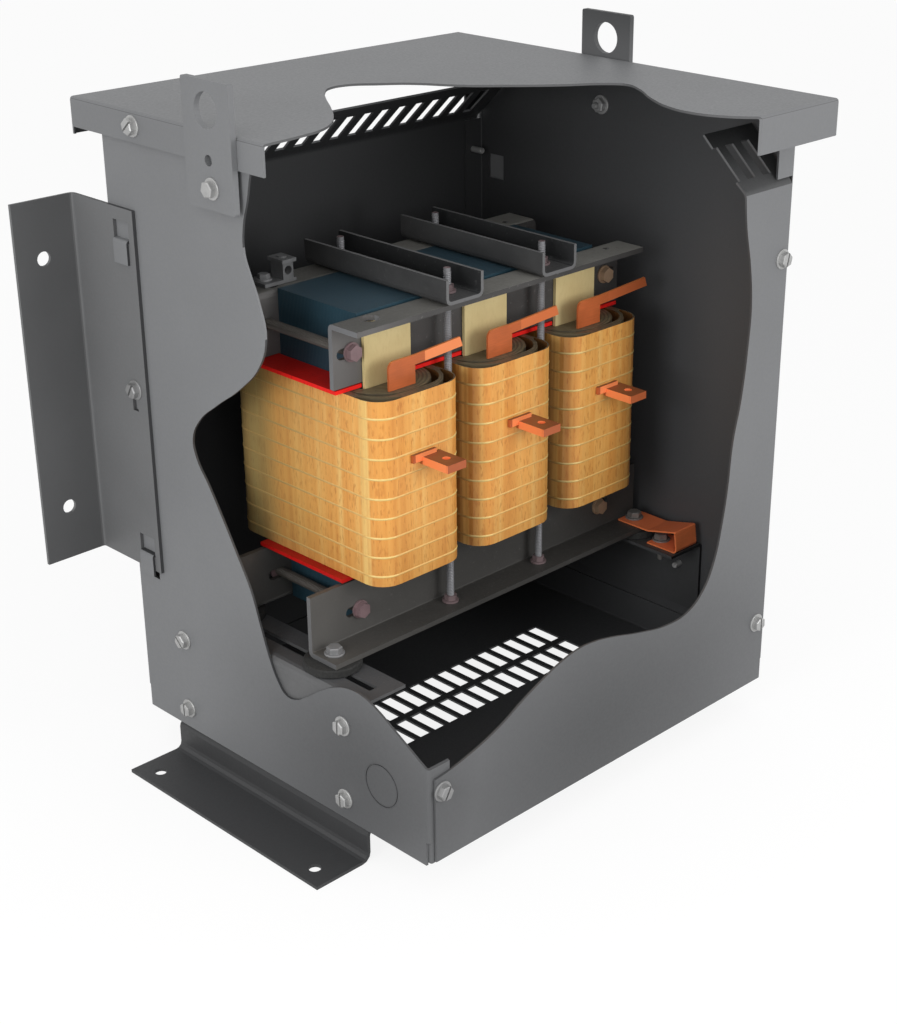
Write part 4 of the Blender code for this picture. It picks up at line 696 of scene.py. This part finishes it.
def varnish(look, streak, wide, seed):
    """The wrap's golden varnish, with streaks, pores and dashes along the grain."""
    patches = look.noise(150.0, 3.0, 0.6, (1.0, 1.0, 0.05), (seed * 0.7, 0.3, seed))
    pores = look.noise(620.0, stretch=(1.0, 1.0, 0.2), shift=(seed, 0.0, 0.0))
    dashes = look.noise(210.0, stretch=(1.0, 1.0, 0.35), shift=(0.0, seed, 0.0))
    golden = look.ramp(look.maths("ADD", look.times(wide, 0.7), look.times(patches, 0.3)), *WRAP_GOLDS)
    golden = look.mix(look.steps(streak, 0.42, 0.64, 0.0, 0.36), golden, WRAP_STREAK)
    golden = look.mix(look.steps(pores, 0.58, 0.70, 0.0, 0.60), golden, WRAP_PORE)
    return look.mix(look.steps(dashes, 0.60, 0.72, 0.0, 0.50), golden, WRAP_DASH)


def shaded_to_back(look, golden, low):
    """The varnish with painted shade that turns it khaki and darker towards the back, and a little darker at
    the foot.
    """
    khaki = look.steps(look.back, CASE_CORNER.y + BACK_SHADE_START, CASE_CORNER.y + BACK_SHADE_STOP, 0.0, 0.85)
    golden = look.mix(khaki, golden, look.mix(0.5, golden, BACK_SHADE_TINT, "MULTIPLY"))
    golden = look.mix(look.times(khaki, 0.6), golden, BACK_SHADE_KHAKI)
    deep = look.steps(look.back, CASE_CORNER.y + DEEP_SHADE_START, CASE_CORNER.y + DEEP_SHADE_STOP)
    golden = look.mix(deep, golden, look.mix(1.0, golden, DEEP_SHADE_TINT, "MULTIPLY"))
    return look.dim(golden, look.steps(look.up, low.z, low.z + DIM_FOOT, 0.82, 1.0))


def with_corner_highlight(look, golden, streak, level):
    """The varnish with a painted highlight up the first bend of the front left corner."""
    start = CASE_CORNER.y + CORNER_HIGHLIGHT_START
    begun = look.above(look.back, start, 0.0012)
    not_over = look.rest(look.above(look.back, start + CORNER_HIGHLIGHT_WIDTH, 0.0018))
    on_left = look.above(look.times(look.turned[0], -1.0), 0.5)
    highlight = look.times(begun, not_over, on_left, level, look.steps(streak, 0.35, 0.62, 0.95, 0.45))
    return look.mix(highlight, golden, WRAP_CORNER_HIGHLIGHT)


def winding_wrap(name, low, high, seed, levels):
    """Varnished wrap with upright grain on the sides and edge-wound rings on the ends."""
    look = Look(name, 0.42, specular=0.40)
    grain = {"stretch": (1.0, 1.0, 0.010), "shift": (seed, seed * 0.37, 0.0)}
    wide = look.noise(75.0, 2.0, 0.6, **grain)
    streak = look.noise(330.0, 3.0, 0.6, **grain)
    golden = shaded_to_back(look, varnish(look, streak, wide, seed), low)
    golden = with_corner_highlight(look, across_coil(look, golden, low, high, levels), streak, levels[0])
    # What lies inside the wrap's outline, its inward faces dark brown as painted shade
    outward = look.vectors("MULTIPLY", look.away_from((low + high) / 2), (1.0, 1.0, 0.0))
    turned_out = look.vectors("DOT_PRODUCT", outward, look.normal)
    within = look.mix(look.above(turned_out, 0.0, 0.0005), WRAP_LIP_SHADE, WRAP_CORE)
    outermost = look.above(from_corner(look, low, high, COIL_CORNER), COIL_CORNER - 0.0005, 0.0002)
    golden = look.mix(outermost, within, golden)
    rings = look.steps(coil_rings(look, low, high, OUTER_TURN), -0.2, 1.0, 0.0, 0.75)
    end = look.mix(rings, look.between(look.noise(260.0), *WRAP_END), WRAP_RING)
    look.colour(look.mix(look.above(look.square[2], 0.7, 0.1), golden, end))
    look.bump(look.maths("ADD", streak, wide), 0.10, 0.0003)
    return look.material


def inner_wrap(name, low, high):
    """The low voltage winding's end: brown rings of sheet conductor and paper."""
    look = Look(name, 0.5, specular=0.4)
    rings = coil_rings(look, low, high, INNER_TURN)
    base = look.between(look.noise(240.0, 3.0), *INNER_END)
    look.colour(look.mix(look.steps(rings, -0.3, 1.0, 0.0, 0.75), base, INNER_RING))
    look.bump(rings, 0.35, 0.0003)
    return look.material


def band_tape(name, low, high, levels):
    """The pale tapes of a coil, palest where they turn a corner as a painted highlight, and khaki towards the
    back as painted shade.
    """
    look = Look(name, 0.4, specular=0.5)
    grain = look.noise(300.0, 3.0)
    # Painted highlight where a tape turns a corner
    turning = look.steps(look.times(look.square[0], look.square[1]), 0.02, 0.3)
    pale = look.mix(turning, look.between(grain, *TAPE_FLAT), look.between(grain, *TAPE_CORNER_HIGHLIGHT))
    # Painted shade towards the back
    deep = look.steps(look.back, CASE_CORNER.y + TAPE_SHADE_START, CASE_CORNER.y + TAPE_SHADE_STOP, 0.15, 0.95)
    look.colour(across_coil(look, look.mix(deep, pale, TAPE_BACK_SHADE), low, high, levels))
    look.bump(grain, 0.1, 0.0002)
    return look.material


def red_sheet(name, level):
    """Red insulating sheet, brighter on its cut edges."""
    look = Look(name, 0.5, specular=0.2)
    weave = look.noise(380.0)
    base = look.between(look.noise(30.0, 3.0), *RED)
    base = look.mix(look.above(look.square[2], 0.5), RED_EDGE, base)
    sheet = look.mix(look.steps(weave, 0.55, 0.75, 0.0, 0.5), base, RED_WEAVE)
    # The level paints light on the top sheet and shade on the bottom sheet
    look.colour(look.dim(sheet, level))
    look.bump(weave, 0.3, 0.0004)
    return look.material


def barrier_board(name):
    look = Look(name, 0.6, specular=0.3)
    fibre = look.noise(420.0, 4.0, 0.7, stretch=(1.0, 1.0, 0.3))
    base = look.between(look.noise(24.0, 3.0), *CREAM)
    look.colour(look.mix(look.steps(fibre, 0.5, 0.72, 0.0, 0.3), base, CREAM_FIBRE))
    look.bump(fibre, 0.15, 0.0003)
    return look.material


def copper(name, face, top, lit_end=None, bore=None, front=None):
    """Rolled copper bar: drawn lines, warm patches and a browner top.

    Lit end gives an axis, the place along it, the side of that place and the colour of the bar beyond it,
    lighter as painted light. Bore gives the bar's lowest and highest corners, and the colour of its hole, lit
    as painted light. Front is the colour of faces that look to the front.
    """
    look = Look(name, 0.42, metallic=0.15, specular=0.35)
    clouds = look.noise(60.0, 3.0)
    drawn = look.noise(1.0, stretch=(60.0, 60.0, 900.0))
    base = look.mottled(clouds, face, 0.88, 1.08)
    base = look.mix(look.steps(drawn, 0.4, 0.7, 0.0, 0.3), base, tone(face, 0.72))
    places = look.parts(look.at)
    # Painted light on the bar beyond a place, with a sharp edge like a shadow's
    if lit_end is not None:
        axis, place, side, colour = lit_end
        base = look.mix(look.above(look.times(places[axis], side), place * side, 0.0004), base, colour)
    if front is not None:
        base = look.mix(look.above(look.times(look.turned[1], -1.0), 0.7, 0.1), base, front)
    base = look.mix(look.above(look.turned[2], 0.8), base, top)
    if bore is not None:
        low, high, colour = bore
        inside = look.rest(look.square[2])
        for axis in (0, 1):
            off = look.maths("SUBTRACT", places[axis], (low[axis] + high[axis]) / 2)
            margin = (high[axis] - low[axis]) / 2 - BORE_MARGIN
            outermost = look.above(look.maths("ABSOLUTE", off), margin, 0.0002)
            inside = look.times(inside, look.rest(outermost))
        base = look.mix(inside, base, colour)
    look.colour(base)
    look.rough(look.spread(clouds, 0.36, 0.52))
    look.bump(drawn, 0.08, 0.0002)
    return look.material


def ring_of(build, sides, radius, height):
    angles = [2 * math.pi * step / sides for step in range(sides)]
    return [build.verts.new((radius * math.cos(a), radius * math.sin(a), height)) for a in angles]


def lathe(build, sides, outline):
    """A closed turned body: its outline as radius and height, from its bottom to its top."""
    rings = [ring_of(build, sides, radius, height) for radius, height in outline]
    for lower, upper in zip(rings, rings[1:]):
        for index in range(sides):
            after = (index + 1) % sides
            build.faces.new((lower[index], lower[after], upper[after], upper[index]))
    build.faces.new(list(reversed(rings[0])))
    build.faces.new(rings[-1])


def mesh_from(build, name):
    mesh = bpy.data.meshes.new(name)
    build.to_mesh(mesh)
    build.free()
    return mesh


def screw_mesh(name, slotted=False, shank=SHANK_LENGTH, tip=0.0, share=1.0):
    """A hex washer head on +Z with its seat at zero and its shank below.

    The head may have a screwdriver slot, or be a nut that a tip of the bolt stands out of.
    """
    build = bmesh.new()
    washer = WASHER_RADIUS * share
    hexagon = HEX_RADIUS * share
    head = WASHER_HEIGHT + HEX_HEIGHT * share
    lathe(build, WASHER_SIDES, (
        (washer, 0.0),
        (washer, WASHER_HEIGHT * WASHER_EDGE_RISE),
        (washer - WASHER_EDGE, WASHER_HEIGHT),
    ))
    lathe(build, 6, (
        (hexagon, WASHER_HEIGHT - SEAT_GAP),
        (hexagon, head - HEX_CHAMFER),
        (hexagon * HEX_TOP_SHARE, head),
    ))
    lathe(build, SHANK_SIDES, (
        (SHANK_RADIUS * SHANK_END_SHARE, -shank),
        (SHANK_RADIUS, -shank + SHANK_RADIUS * 0.4),
        (SHANK_RADIUS, SEAT_GAP),
    ))
    if tip:
        lathe(build, SHANK_SIDES, (
            (SHANK_RADIUS, head - SEAT_GAP),
            (SHANK_RADIUS, head + tip * 0.7),
            (SHANK_RADIUS * 0.75, head + tip),
        ))
    mesh = mesh_from(build, name)
    return with_slot(mesh) if slotted else mesh


def with_slot(mesh):
    """The same head with a screwdriver slot across its hexagon."""
    head = bpy.data.objects.new("slot_work", mesh)
    bpy.context.scene.collection.objects.link(head)
    build = bmesh.new()
    bmesh.ops.create_cube(build, size=1.0)
    slot_size = Vector((WASHER_RADIUS * 3, SLOT_WIDTH, SLOT_DEPTH * 2))
    bmesh.ops.scale(build, vec=slot_size, verts=build.verts)
    bmesh.ops.translate(build, vec=(0, 0, WASHER_HEIGHT + HEX_HEIGHT), verts=build.verts)
    cutter = bpy.data.objects.new("slot_cutter", mesh_from(build, "slot_cutter"))
    bpy.context.scene.collection.objects.link(cutter)
    modifier = head.modifiers.new("slot", "BOOLEAN")
    modifier.operation = "DIFFERENCE"
    modifier.object = cutter
    bpy.context.view_layer.update()
    evaluated = head.evaluated_get(bpy.context.evaluated_depsgraph_get())
    result = bpy.data.meshes.new_from_object(evaluated)
    bpy.data.objects.remove(head)
    bpy.data.objects.remove(cutter)
    return result


def add_piece(name, mesh, material, matrix=None):
    piece = bpy.data.objects.new(name, mesh)
    bpy.context.scene.collection.objects.link(piece)
    if not mesh.materials:
        mesh.materials.append(material)
    if matrix is not None:
        piece.matrix_world = matrix
    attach(piece, "root")


def facing(place, axis, turn=0.0):
    """A place whose +Z looks along axis, turned about it by that many degrees."""
    looking = axis.to_track_quat("Z", "Y").to_matrix().to_4x4()
    return Matrix.Translation(place) @ looking @ Matrix.Rotation(math.radians(turn), 4, "Z")


def add_screws(zinc, shaded_zinc):
    """Hex washer screws of the panels, the cover and the brackets, and the lifting lugs' bolts."""
    slotted = screw_mesh("slotted_screw", True)
    # A copy of the slotted screw that carries the painted shade of the darker zinc
    shaded_slotted = screw_mesh("shaded_slotted_screw", True)
    long_slotted = screw_mesh("long_slotted_screw", True, LONG_SHANK)
    plain = screw_mesh("plain_bolt")
    nut = screw_mesh("bolt_nut", tip=BOLT_TIP)
    width = CASE_WIDTH / MM
    depth = CASE_DEPTH / MM

    def put(name, mesh, material, place, axis, turn):
        matrix = facing(on_case(*place) + axis * SEAT_GAP, axis, turn)
        add_piece(name, mesh, material, matrix)

    def put_on_sides(*fasteners):
        """Puts fasteners on the left, then on the right: way is 1 to look outwards and -1 inwards."""
        for side, axis in (("left", LEFT), ("right", RIGHT)):
            for start, ending, mesh, material, face, (back, up, turn), way in fasteners:
                across = face if axis is LEFT else width - face
                put(f"{start}_{side}{ending}", mesh, material, (across, back, up), axis * way, turn)

    for number, screw in enumerate(WALL_SCREWS, 1):
        put_on_sides(("wall_screw", f"_{number}", slotted, zinc, WALL_FACE, screw, 1))
    front_screws = (
        (13.5, 67.3, 60, shaded_slotted, shaded_zinc),
        (422.9, 66.3, 92, slotted, zinc),
        (426.8, 418.7, 75, slotted, zinc),
    )
    for number, (across, up, turn, mesh, material) in enumerate(front_screws, 1):
        put(f"front_panel_screw_{number}", mesh, material, (across, PANEL_FACE, up), FRONT, turn)
    back_screws = (
        (14, 67, 60, slotted),
        (426, 67, 20, slotted),
        (426, 453, 75, long_slotted),
        (14, 453, 40, long_slotted),
    )
    for number, (across, up, turn, mesh) in enumerate(back_screws, 1):
        put(f"back_panel_screw_{number}", mesh, zinc, (across, depth - PANEL_FACE, up), BACK, turn)
    put_on_sides(
        ("cover_screw", "_1", slotted, zinc, HEM_FACE, COVER_SCREW, 1),
        ("bracket_screw", "", shaded_slotted, shaded_zinc, BRACKET_FACE, BRACKET_SCREW, 1),
        ("lug_bolt", "", plain, zinc, LUG_FACE, LUG_BOLT, 1),
        ("lug_nut", "", nut, shaded_zinc, WALL_SHEET, LUG_NUT, -1),
    )
    back, up, turn = RIGHT_COVER_SCREW
    put("cover_screw_right_2", slotted, zinc, (width - HEM_FACE, back, up), RIGHT, turn)


def add_clamp_bolts(steels):
    """Bolts of the isolation pads, the bonding strap and the ground lug."""
    meshes = {
        "pad": screw_mesh("pad_bolt_mesh", shank=PAD_SHANK),
        "strap": screw_mesh("strap_bolt_mesh", shank=PAD_SHANK),
        "lug": screw_mesh("lug_base_bolt_mesh", shank=LUG_SHANK, share=SMALL_SHARE),
    }
    for name, mesh, steel, place, turn in CLAMP_BOLTS:
        matrix = facing(on_case(*place) + UP * SEAT_GAP, UP, turn)
        add_piece(name, meshes[mesh], steels[steel], matrix)


def thread_mesh(name, radius, length):
    """A closed triangular ridge wound along +Z around a rod of that radius."""
    turns = int(length / THREAD_PITCH)
    build = bmesh.new()
    rows = []
    root = radius - THREAD_PROUD / 2
    profile = ((root, -THREAD_FLANK), (radius + THREAD_PROUD, 0.0), (root, THREAD_FLANK))
    for step in range(turns * THREAD_STEPS + 1):
        angle = 2 * math.pi * step / THREAD_STEPS
        height = THREAD_PITCH * (step / THREAD_STEPS + 0.5)
        rows.append([
            build.verts.new((out * math.cos(angle), out * math.sin(angle), height + rise * THREAD_PITCH))
            for out, rise in profile
        ])
    for before, after in zip(rows, rows[1:]):
        for index in range(3):
            following = (index + 1) % 3
            build.faces.new((before[index], after[index], after[following], before[following]))
    build.faces.new(rows[0])
    build.faces.new(list(reversed(rows[-1])))
    bmesh.ops.recalc_face_normals(build, faces=build.faces)
    return mesh_from(build, name)


def add_thread(rod, name, radius, axis, steel):
    """The thread of a rod, from the end that its axis leaves from."""
    low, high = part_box(rod)
    along = 1 if axis is BACK else 2
    mesh = thread_mesh(name, radius, high[along] - low[along] - 2 * THREAD_PITCH)
    start = (low + high) / 2
    start[along] = low[along]
    add_piece(name, mesh, steel, facing(start, axis))


def add_threads(rod_steel, bolt_steel):
    """Threads of the tie rods and the core bolts."""
    for place in ("front_left", "front_right", "back_left", "back_right"):
        add_thread(f"tie_rod_{place}", f"tie_rod_thread_{place}", TIE_ROD_RADIUS, UP, rod_steel)
    for place in ("bottom_left", "bottom_right", "top_left", "top_right"):
        add_thread(f"core_bolt_{place}", f"core_bolt_thread_{place}", CORE_BOLT_RADIUS, BACK, bolt_steel)


def hoop_loop(build, low, high, reach, up):
    """The points of one loop round a coil, whose corners bend at that reach."""
    middle = (low + high) / 2
    corners = ((high.x, high.y), (low.x, high.y), (low.x, low.y), (high.x, low.y))
    loop = []
    for quarter, (corner_x, corner_y) in enumerate(corners):
        bend_x = corner_x - math.copysign(COIL_CORNER, corner_x - middle.x)
        bend_y = corner_y - math.copysign(COIL_CORNER, corner_y - middle.y)
        for step in range(HOOP_STEPS + 1):
            angle = math.radians(90.0 * quarter + 90.0 * step / HOOP_STEPS)
            place = (bend_x + reach * math.cos(angle), bend_y + reach * math.sin(angle), up)
            loop.append(build.verts.new(place))
    return loop


def hoops_mesh(name, low, high, hoops):
    """Closed hoops round a coil, each given as its section's points: how far out, and how high."""
    build = bmesh.new()
    for section in hoops:
        loops = [hoop_loop(build, low, high, COIL_CORNER + out, up) for out, up in section]
        for before, after in zip(loops, loops[1:] + loops[:1]):
            for index in range(len(before)):
                following = (index + 1) % len(before)
                build.faces.new((before[index], before[following], after[following], after[index]))
    bmesh.ops.recalc_face_normals(build, faces=build.faces)
    mesh = mesh_from(build, name)
    for polygon in mesh.polygons:
        polygon.use_smooth = True
    return mesh


def add_tapes():
    """The pale tapes between the wrap's courses, low ridges all the way round each coil."""
    half = BAND_HALF_HEIGHT
    shoulder = BAND_PROUD * BAND_SHOULDER_OUT
    section = (
        (-HOOP_BITE, -half), (shoulder, -half * BAND_SHOULDER_UP), (BAND_PROUD, 0.0),
        (shoulder, half * BAND_SHOULDER_UP), (-HOOP_BITE, half),
    )
    for number, levels in WRAP_SHADE_LEVELS.items():
        low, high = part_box(f"outer_winding_{number}")
        middles = [high.z - BAND_FIRST - band * BAND_PITCH for band in range(BAND_COUNT)]
        hoops = [[(out, middle + off) for out, off in section] for middle in middles]
        name = f"wrap_bands_{number}"
        tape = band_tape(f"wrap_tape_{number}", low, high, levels)
        add_piece(name, hoops_mesh(name, low, high, hoops), tape)


def shared_materials():
    """The materials that families of nodes share, by the start of their names."""
    cover_shaded_gray = tone(CASE_GRAY, COVER_SHADE_LEVEL)
    right_lug_low, right_lug_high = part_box("lifting_lug_right")
    bracket_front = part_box("wall_bracket_left")[0].y + FRONT_EDGE_REACH
    foot_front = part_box("mounting_foot_left")[0].y + FRONT_EDGE_REACH
    strip = (STRIP_FOOT_SHADE, STRIP_TOP_SHADE, CASE_CORNER.z + STRIP_BEND_UP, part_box("front_panel")[1].z)
    wall_paint = powder_coat("wall_paint", CASE_GRAY, CASE_INSIDE, ring=(KNOCKOUT_CENTRE, KNOCKOUT_RADIUS))
    return {
        "lifting_lug_left": powder_coat("lug_paint", cover_shaded_gray),
        "lifting_lug_right": shaded_lug_coat("right_lug_painted_shade", RIGHT_LUG_FOOT_SHADE, RIGHT_LUG_TOP_SHADE,
                                      right_lug_low.z + LUG_FOOT_UP, right_lug_high.z),
        "wall_bracket": bracket_coat("bracket_paint", BRACKET_GRAY, BRACKET_EDGE, bracket_front,
                                     *BRACKET_SHADING_LEVELS),
        "mounting_foot": bracket_coat("foot_paint", FOOT_GRAY, FOOT_EDGE, foot_front, *FOOT_SHADING_LEVELS),
        "top_cover": powder_coat("cover_paint", cover_shaded_gray, CASE_INSIDE,
                                 cut=(SAWN_EDGE, CASE_CORNER.z + COVER_TOP_UP)),
        "front_panel": powder_coat("front_panel_paint", tone(CASE_GRAY, FRONT_PANEL_SHADE_LEVEL), CASE_INSIDE,
                                   strip=strip),
        "left_side_panel": wall_paint,
        "right_side_panel": wall_paint,
        "core_rail_left": painted_steel("rail_paint_left", LEFT_RAIL, cut_axis=1),
        "core_rail_right": painted_steel("rail_paint_right_shaded", RIGHT_RAIL_SHADED, cut_axis=1),
        "isolation_pad": rubber("pad_rubber"),
        "core": core_lacquer("core_lacquer"),
        "bottom_clamp": painted_steel("bottom_clamp_paint", BOTTOM_CLAMP, 0, LOWER_FACE_SHADE, LOWER_TOP_SHADE),
        "top_clamp": painted_steel("top_clamp_paint", TOP_CLAMP, 0, UPPER_FACE_SHADE, UPPER_TOP_LIGHT),
        "bottom_plate": red_sheet("bottom_red_sheet_shaded", BOTTOM_RED_SHADE_LEVEL),
        "top_plate": red_sheet("top_red_sheet_lit", TOP_RED_LIGHT_LEVEL),
        "barrier": barrier_board("barrier_board"),
        "ground_lug": plated("lug_alloy", LUG_ALLOY, 0.5, 0.2),
        "bonding_strap": copper("strap_copper", STRAP_LIT_FACE, STRAP_LIT_TOP),
    }


def own_material(name):
    """The material of a node whose look follows its own box, or None."""
    low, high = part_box(name)
    number = name[-1]
    if name.startswith("outer_winding"):
        return winding_wrap(f"wrap_{number}", low, high, float(number) * WRAP_SHIFT, WRAP_SHADE_LEVELS[number])
    if name.startswith("inner_winding"):
        return inner_wrap(f"inner_wrap_{number}", low, high)
    if name.startswith("core_bolt"):
        heads = LEFT_HEADS if name.endswith("left") else RIGHT_HEADS_WITH_REFLECTION
        return headed_rod(f"{name}_plating", low, high, 1, CORE_BOLT_RADIUS, heads, CORE_BOLT_SHANK)
    if name.startswith("tie_rod"):
        return headed_rod(f"{name}_plating", low, high, 2, TIE_ROD_RADIUS, TIE_ROD_HEADS, TIE_ROD_SHANK)
    if name.startswith("lv_lead"):
        lit_end = (0, low.x + LIT_LEAD_START, 1.0, LEAD_LIT_ENDS[number])
        return copper(f"{name}_copper", LEAD_FACE, LEAD_TOP, lit_end)
    if name.startswith("hv_terminal"):
        lit_end = (1, low.y + LIT_TERMINAL_STOP, -1.0, TERMINAL_LIT_END)
        bore = (low, high, LIT_COPPER)
        return copper(f"{name}_copper", TERMINAL_FACE, TERMINAL_TOP, lit_end, bore, TERMINAL_FRONT)
    if name.startswith("cross_channel"):
        return channel_paint(f"{name}_paint", low, high)
    return None


def dress_nodes():
    """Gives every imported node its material."""
    shared = shared_materials()
    case_paint = powder_coat("case_paint", CASE_GRAY, CASE_INSIDE)
    for name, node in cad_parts.items():
        material = own_material(name)
        if material is None:
            starts = [start for start in shared if name.startswith(start)]
            material = shared[max(starts, key=len)] if starts else case_paint
        node.data.materials.clear()
        node.data.materials.append(material)


def seen_by_eye(tree):
    """One for camera, glossy and transmission rays, and zero for the rays that light the object."""
    path = tree.nodes.new("ShaderNodeLightPath")
    seen = path.outputs["Is Camera Ray"]
    for kind in ("Is Glossy Ray", "Is Transmission Ray"):
        either = tree.nodes.new("ShaderNodeMath")
        either.operation = "MAXIMUM"
        tree.links.new(seen, either.inputs[0])
        tree.links.new(path.outputs[kind], either.inputs[1])
        seen = either.outputs[0]
    return seen


def shader_node(tree, kind, colour, strength=None):
    node = tree.nodes.new(kind)
    node.inputs["Color"].default_value = rgba(colour)
    if strength is not None:
        node.inputs["Strength"].default_value = strength
    return node.outputs[0]


def mix_for_eye(tree, output_kind, for_light, for_eye):
    """Ends a tree with one shader for the rays that light the object and another for the eye's rays."""
    mixer = tree.nodes.new("ShaderNodeMixShader")
    tree.links.new(seen_by_eye(tree), mixer.inputs[0])
    tree.links.new(for_light, mixer.inputs[1])
    tree.links.new(for_eye, mixer.inputs[2])
    output = tree.nodes.new(output_kind)
    tree.links.new(mixer.outputs[0], output.inputs["Surface"])


def add_floor():
    """A pale floor that shows the object's soft shadow and is near white to the camera."""
    build = bmesh.new()
    bmesh.ops.create_grid(build, x_segments=1, y_segments=1, size=FLOOR_SIZE / 2)
    mesh = mesh_from(build, "floor")
    floor = bpy.data.objects.new("floor", mesh)
    bpy.context.scene.collection.objects.link(floor)
    floor.location.z = cad_box[0][2] - SEAT_GAP
    material = bpy.data.materials.new("pale_floor")
    material.use_nodes = True
    tree = material.node_tree
    tree.nodes.clear()
    seen = tree.nodes.new("ShaderNodeAddShader")
    tree.links.new(shader_node(tree, "ShaderNodeBsdfDiffuse", FLOOR_SHADE), seen.inputs[0])
    tree.links.new(shader_node(tree, "ShaderNodeEmission", WHITE, FLOOR_GLOW), seen.inputs[1])
    plain = shader_node(tree, "ShaderNodeBsdfDiffuse", FLOOR_COLOUR)
    mix_for_eye(tree, "ShaderNodeOutputMaterial", plain, seen.outputs[0])
    mesh.materials.append(material)


def add_world():
    world = bpy.data.worlds.new("studio")
    bpy.context.scene.world = world
    world.use_nodes = True
    tree = world.node_tree
    tree.nodes.clear()
    light = shader_node(tree, "ShaderNodeBackground", WHITE, WORLD_LEVEL)
    mix_for_eye(tree, "ShaderNodeOutputWorld", light, shader_node(tree, "ShaderNodeBackground", WHITE))


def add_lamp(name, place, target, size, level):
    """A square soft lamp that lights a matt surface facing it at the target to that level."""
    place, target = Vector(place), Vector(target)
    lamp = bpy.data.lights.new(name, "AREA")
    lamp.size = size
    lamp.energy = level * (math.pi * (target - place).length) ** 2
    holder = bpy.data.objects.new(name, lamp)
    bpy.context.scene.collection.objects.link(holder)
    holder.matrix_world = facing(place, place - target)


def add_camera():
    data = bpy.data.cameras.new("photo_camera")
    data.sensor_fit = "AUTO"
    data.sensor_width = SENSOR
    data.lens = FOCAL_PIXELS / IMAGE_HEIGHT * SENSOR
    data.shift_x = (IMAGE_WIDTH / 2 - PRINCIPAL_X) / IMAGE_HEIGHT
    data.shift_y = (PRINCIPAL_Y - IMAGE_HEIGHT / 2) / IMAGE_HEIGHT
    camera = bpy.data.objects.new("photo_camera", data)
    bpy.context.scene.collection.objects.link(camera)
    flat = math.cos(CAMERA_ELEVATION)
    forward = Vector((
        flat * math.cos(CAMERA_AZIMUTH), flat * math.sin(CAMERA_AZIMUTH), math.sin(CAMERA_ELEVATION),
    ))
    level_right = Vector((math.sin(CAMERA_AZIMUTH), -math.cos(CAMERA_AZIMUTH), 0.0))
    level_up = level_right.cross(forward)
    right = level_right * math.cos(CAMERA_ROLL) + level_up * math.sin(CAMERA_ROLL)
    up = right.cross(forward)
    turned = Matrix((right, up, -forward)).transposed().to_4x4()
    camera.matrix_world = Matrix.Translation(CAMERA_PLACE) @ turned
    bpy.context.scene.camera = camera


dress_nodes()
add_screws(plated("zinc_plating", ZINC, 0.40, 0.40), plated("shaded_zinc", SHADED_ZINC, 0.45, 0.35))
add_clamp_bolts({
    "pad": plated("pad_bolt_steel", PAD_STEEL, 0.42, 0.35),
    "strap": plated("shaded_strap_bolt_steel", SHADED_STRAP_STEEL, 0.45, 0.3),
})
add_threads(plated("rod_steel", ROD_STEEL, 0.42, 0.4), plated("bolt_steel", BOLT_STEEL, 0.5, 0.1))
add_tapes()
add_floor()
add_world()
for lamp in LAMPS:
    add_lamp(*lamp)
add_camera()
bpy.context.scene.view_settings.view_transform = "Standard"
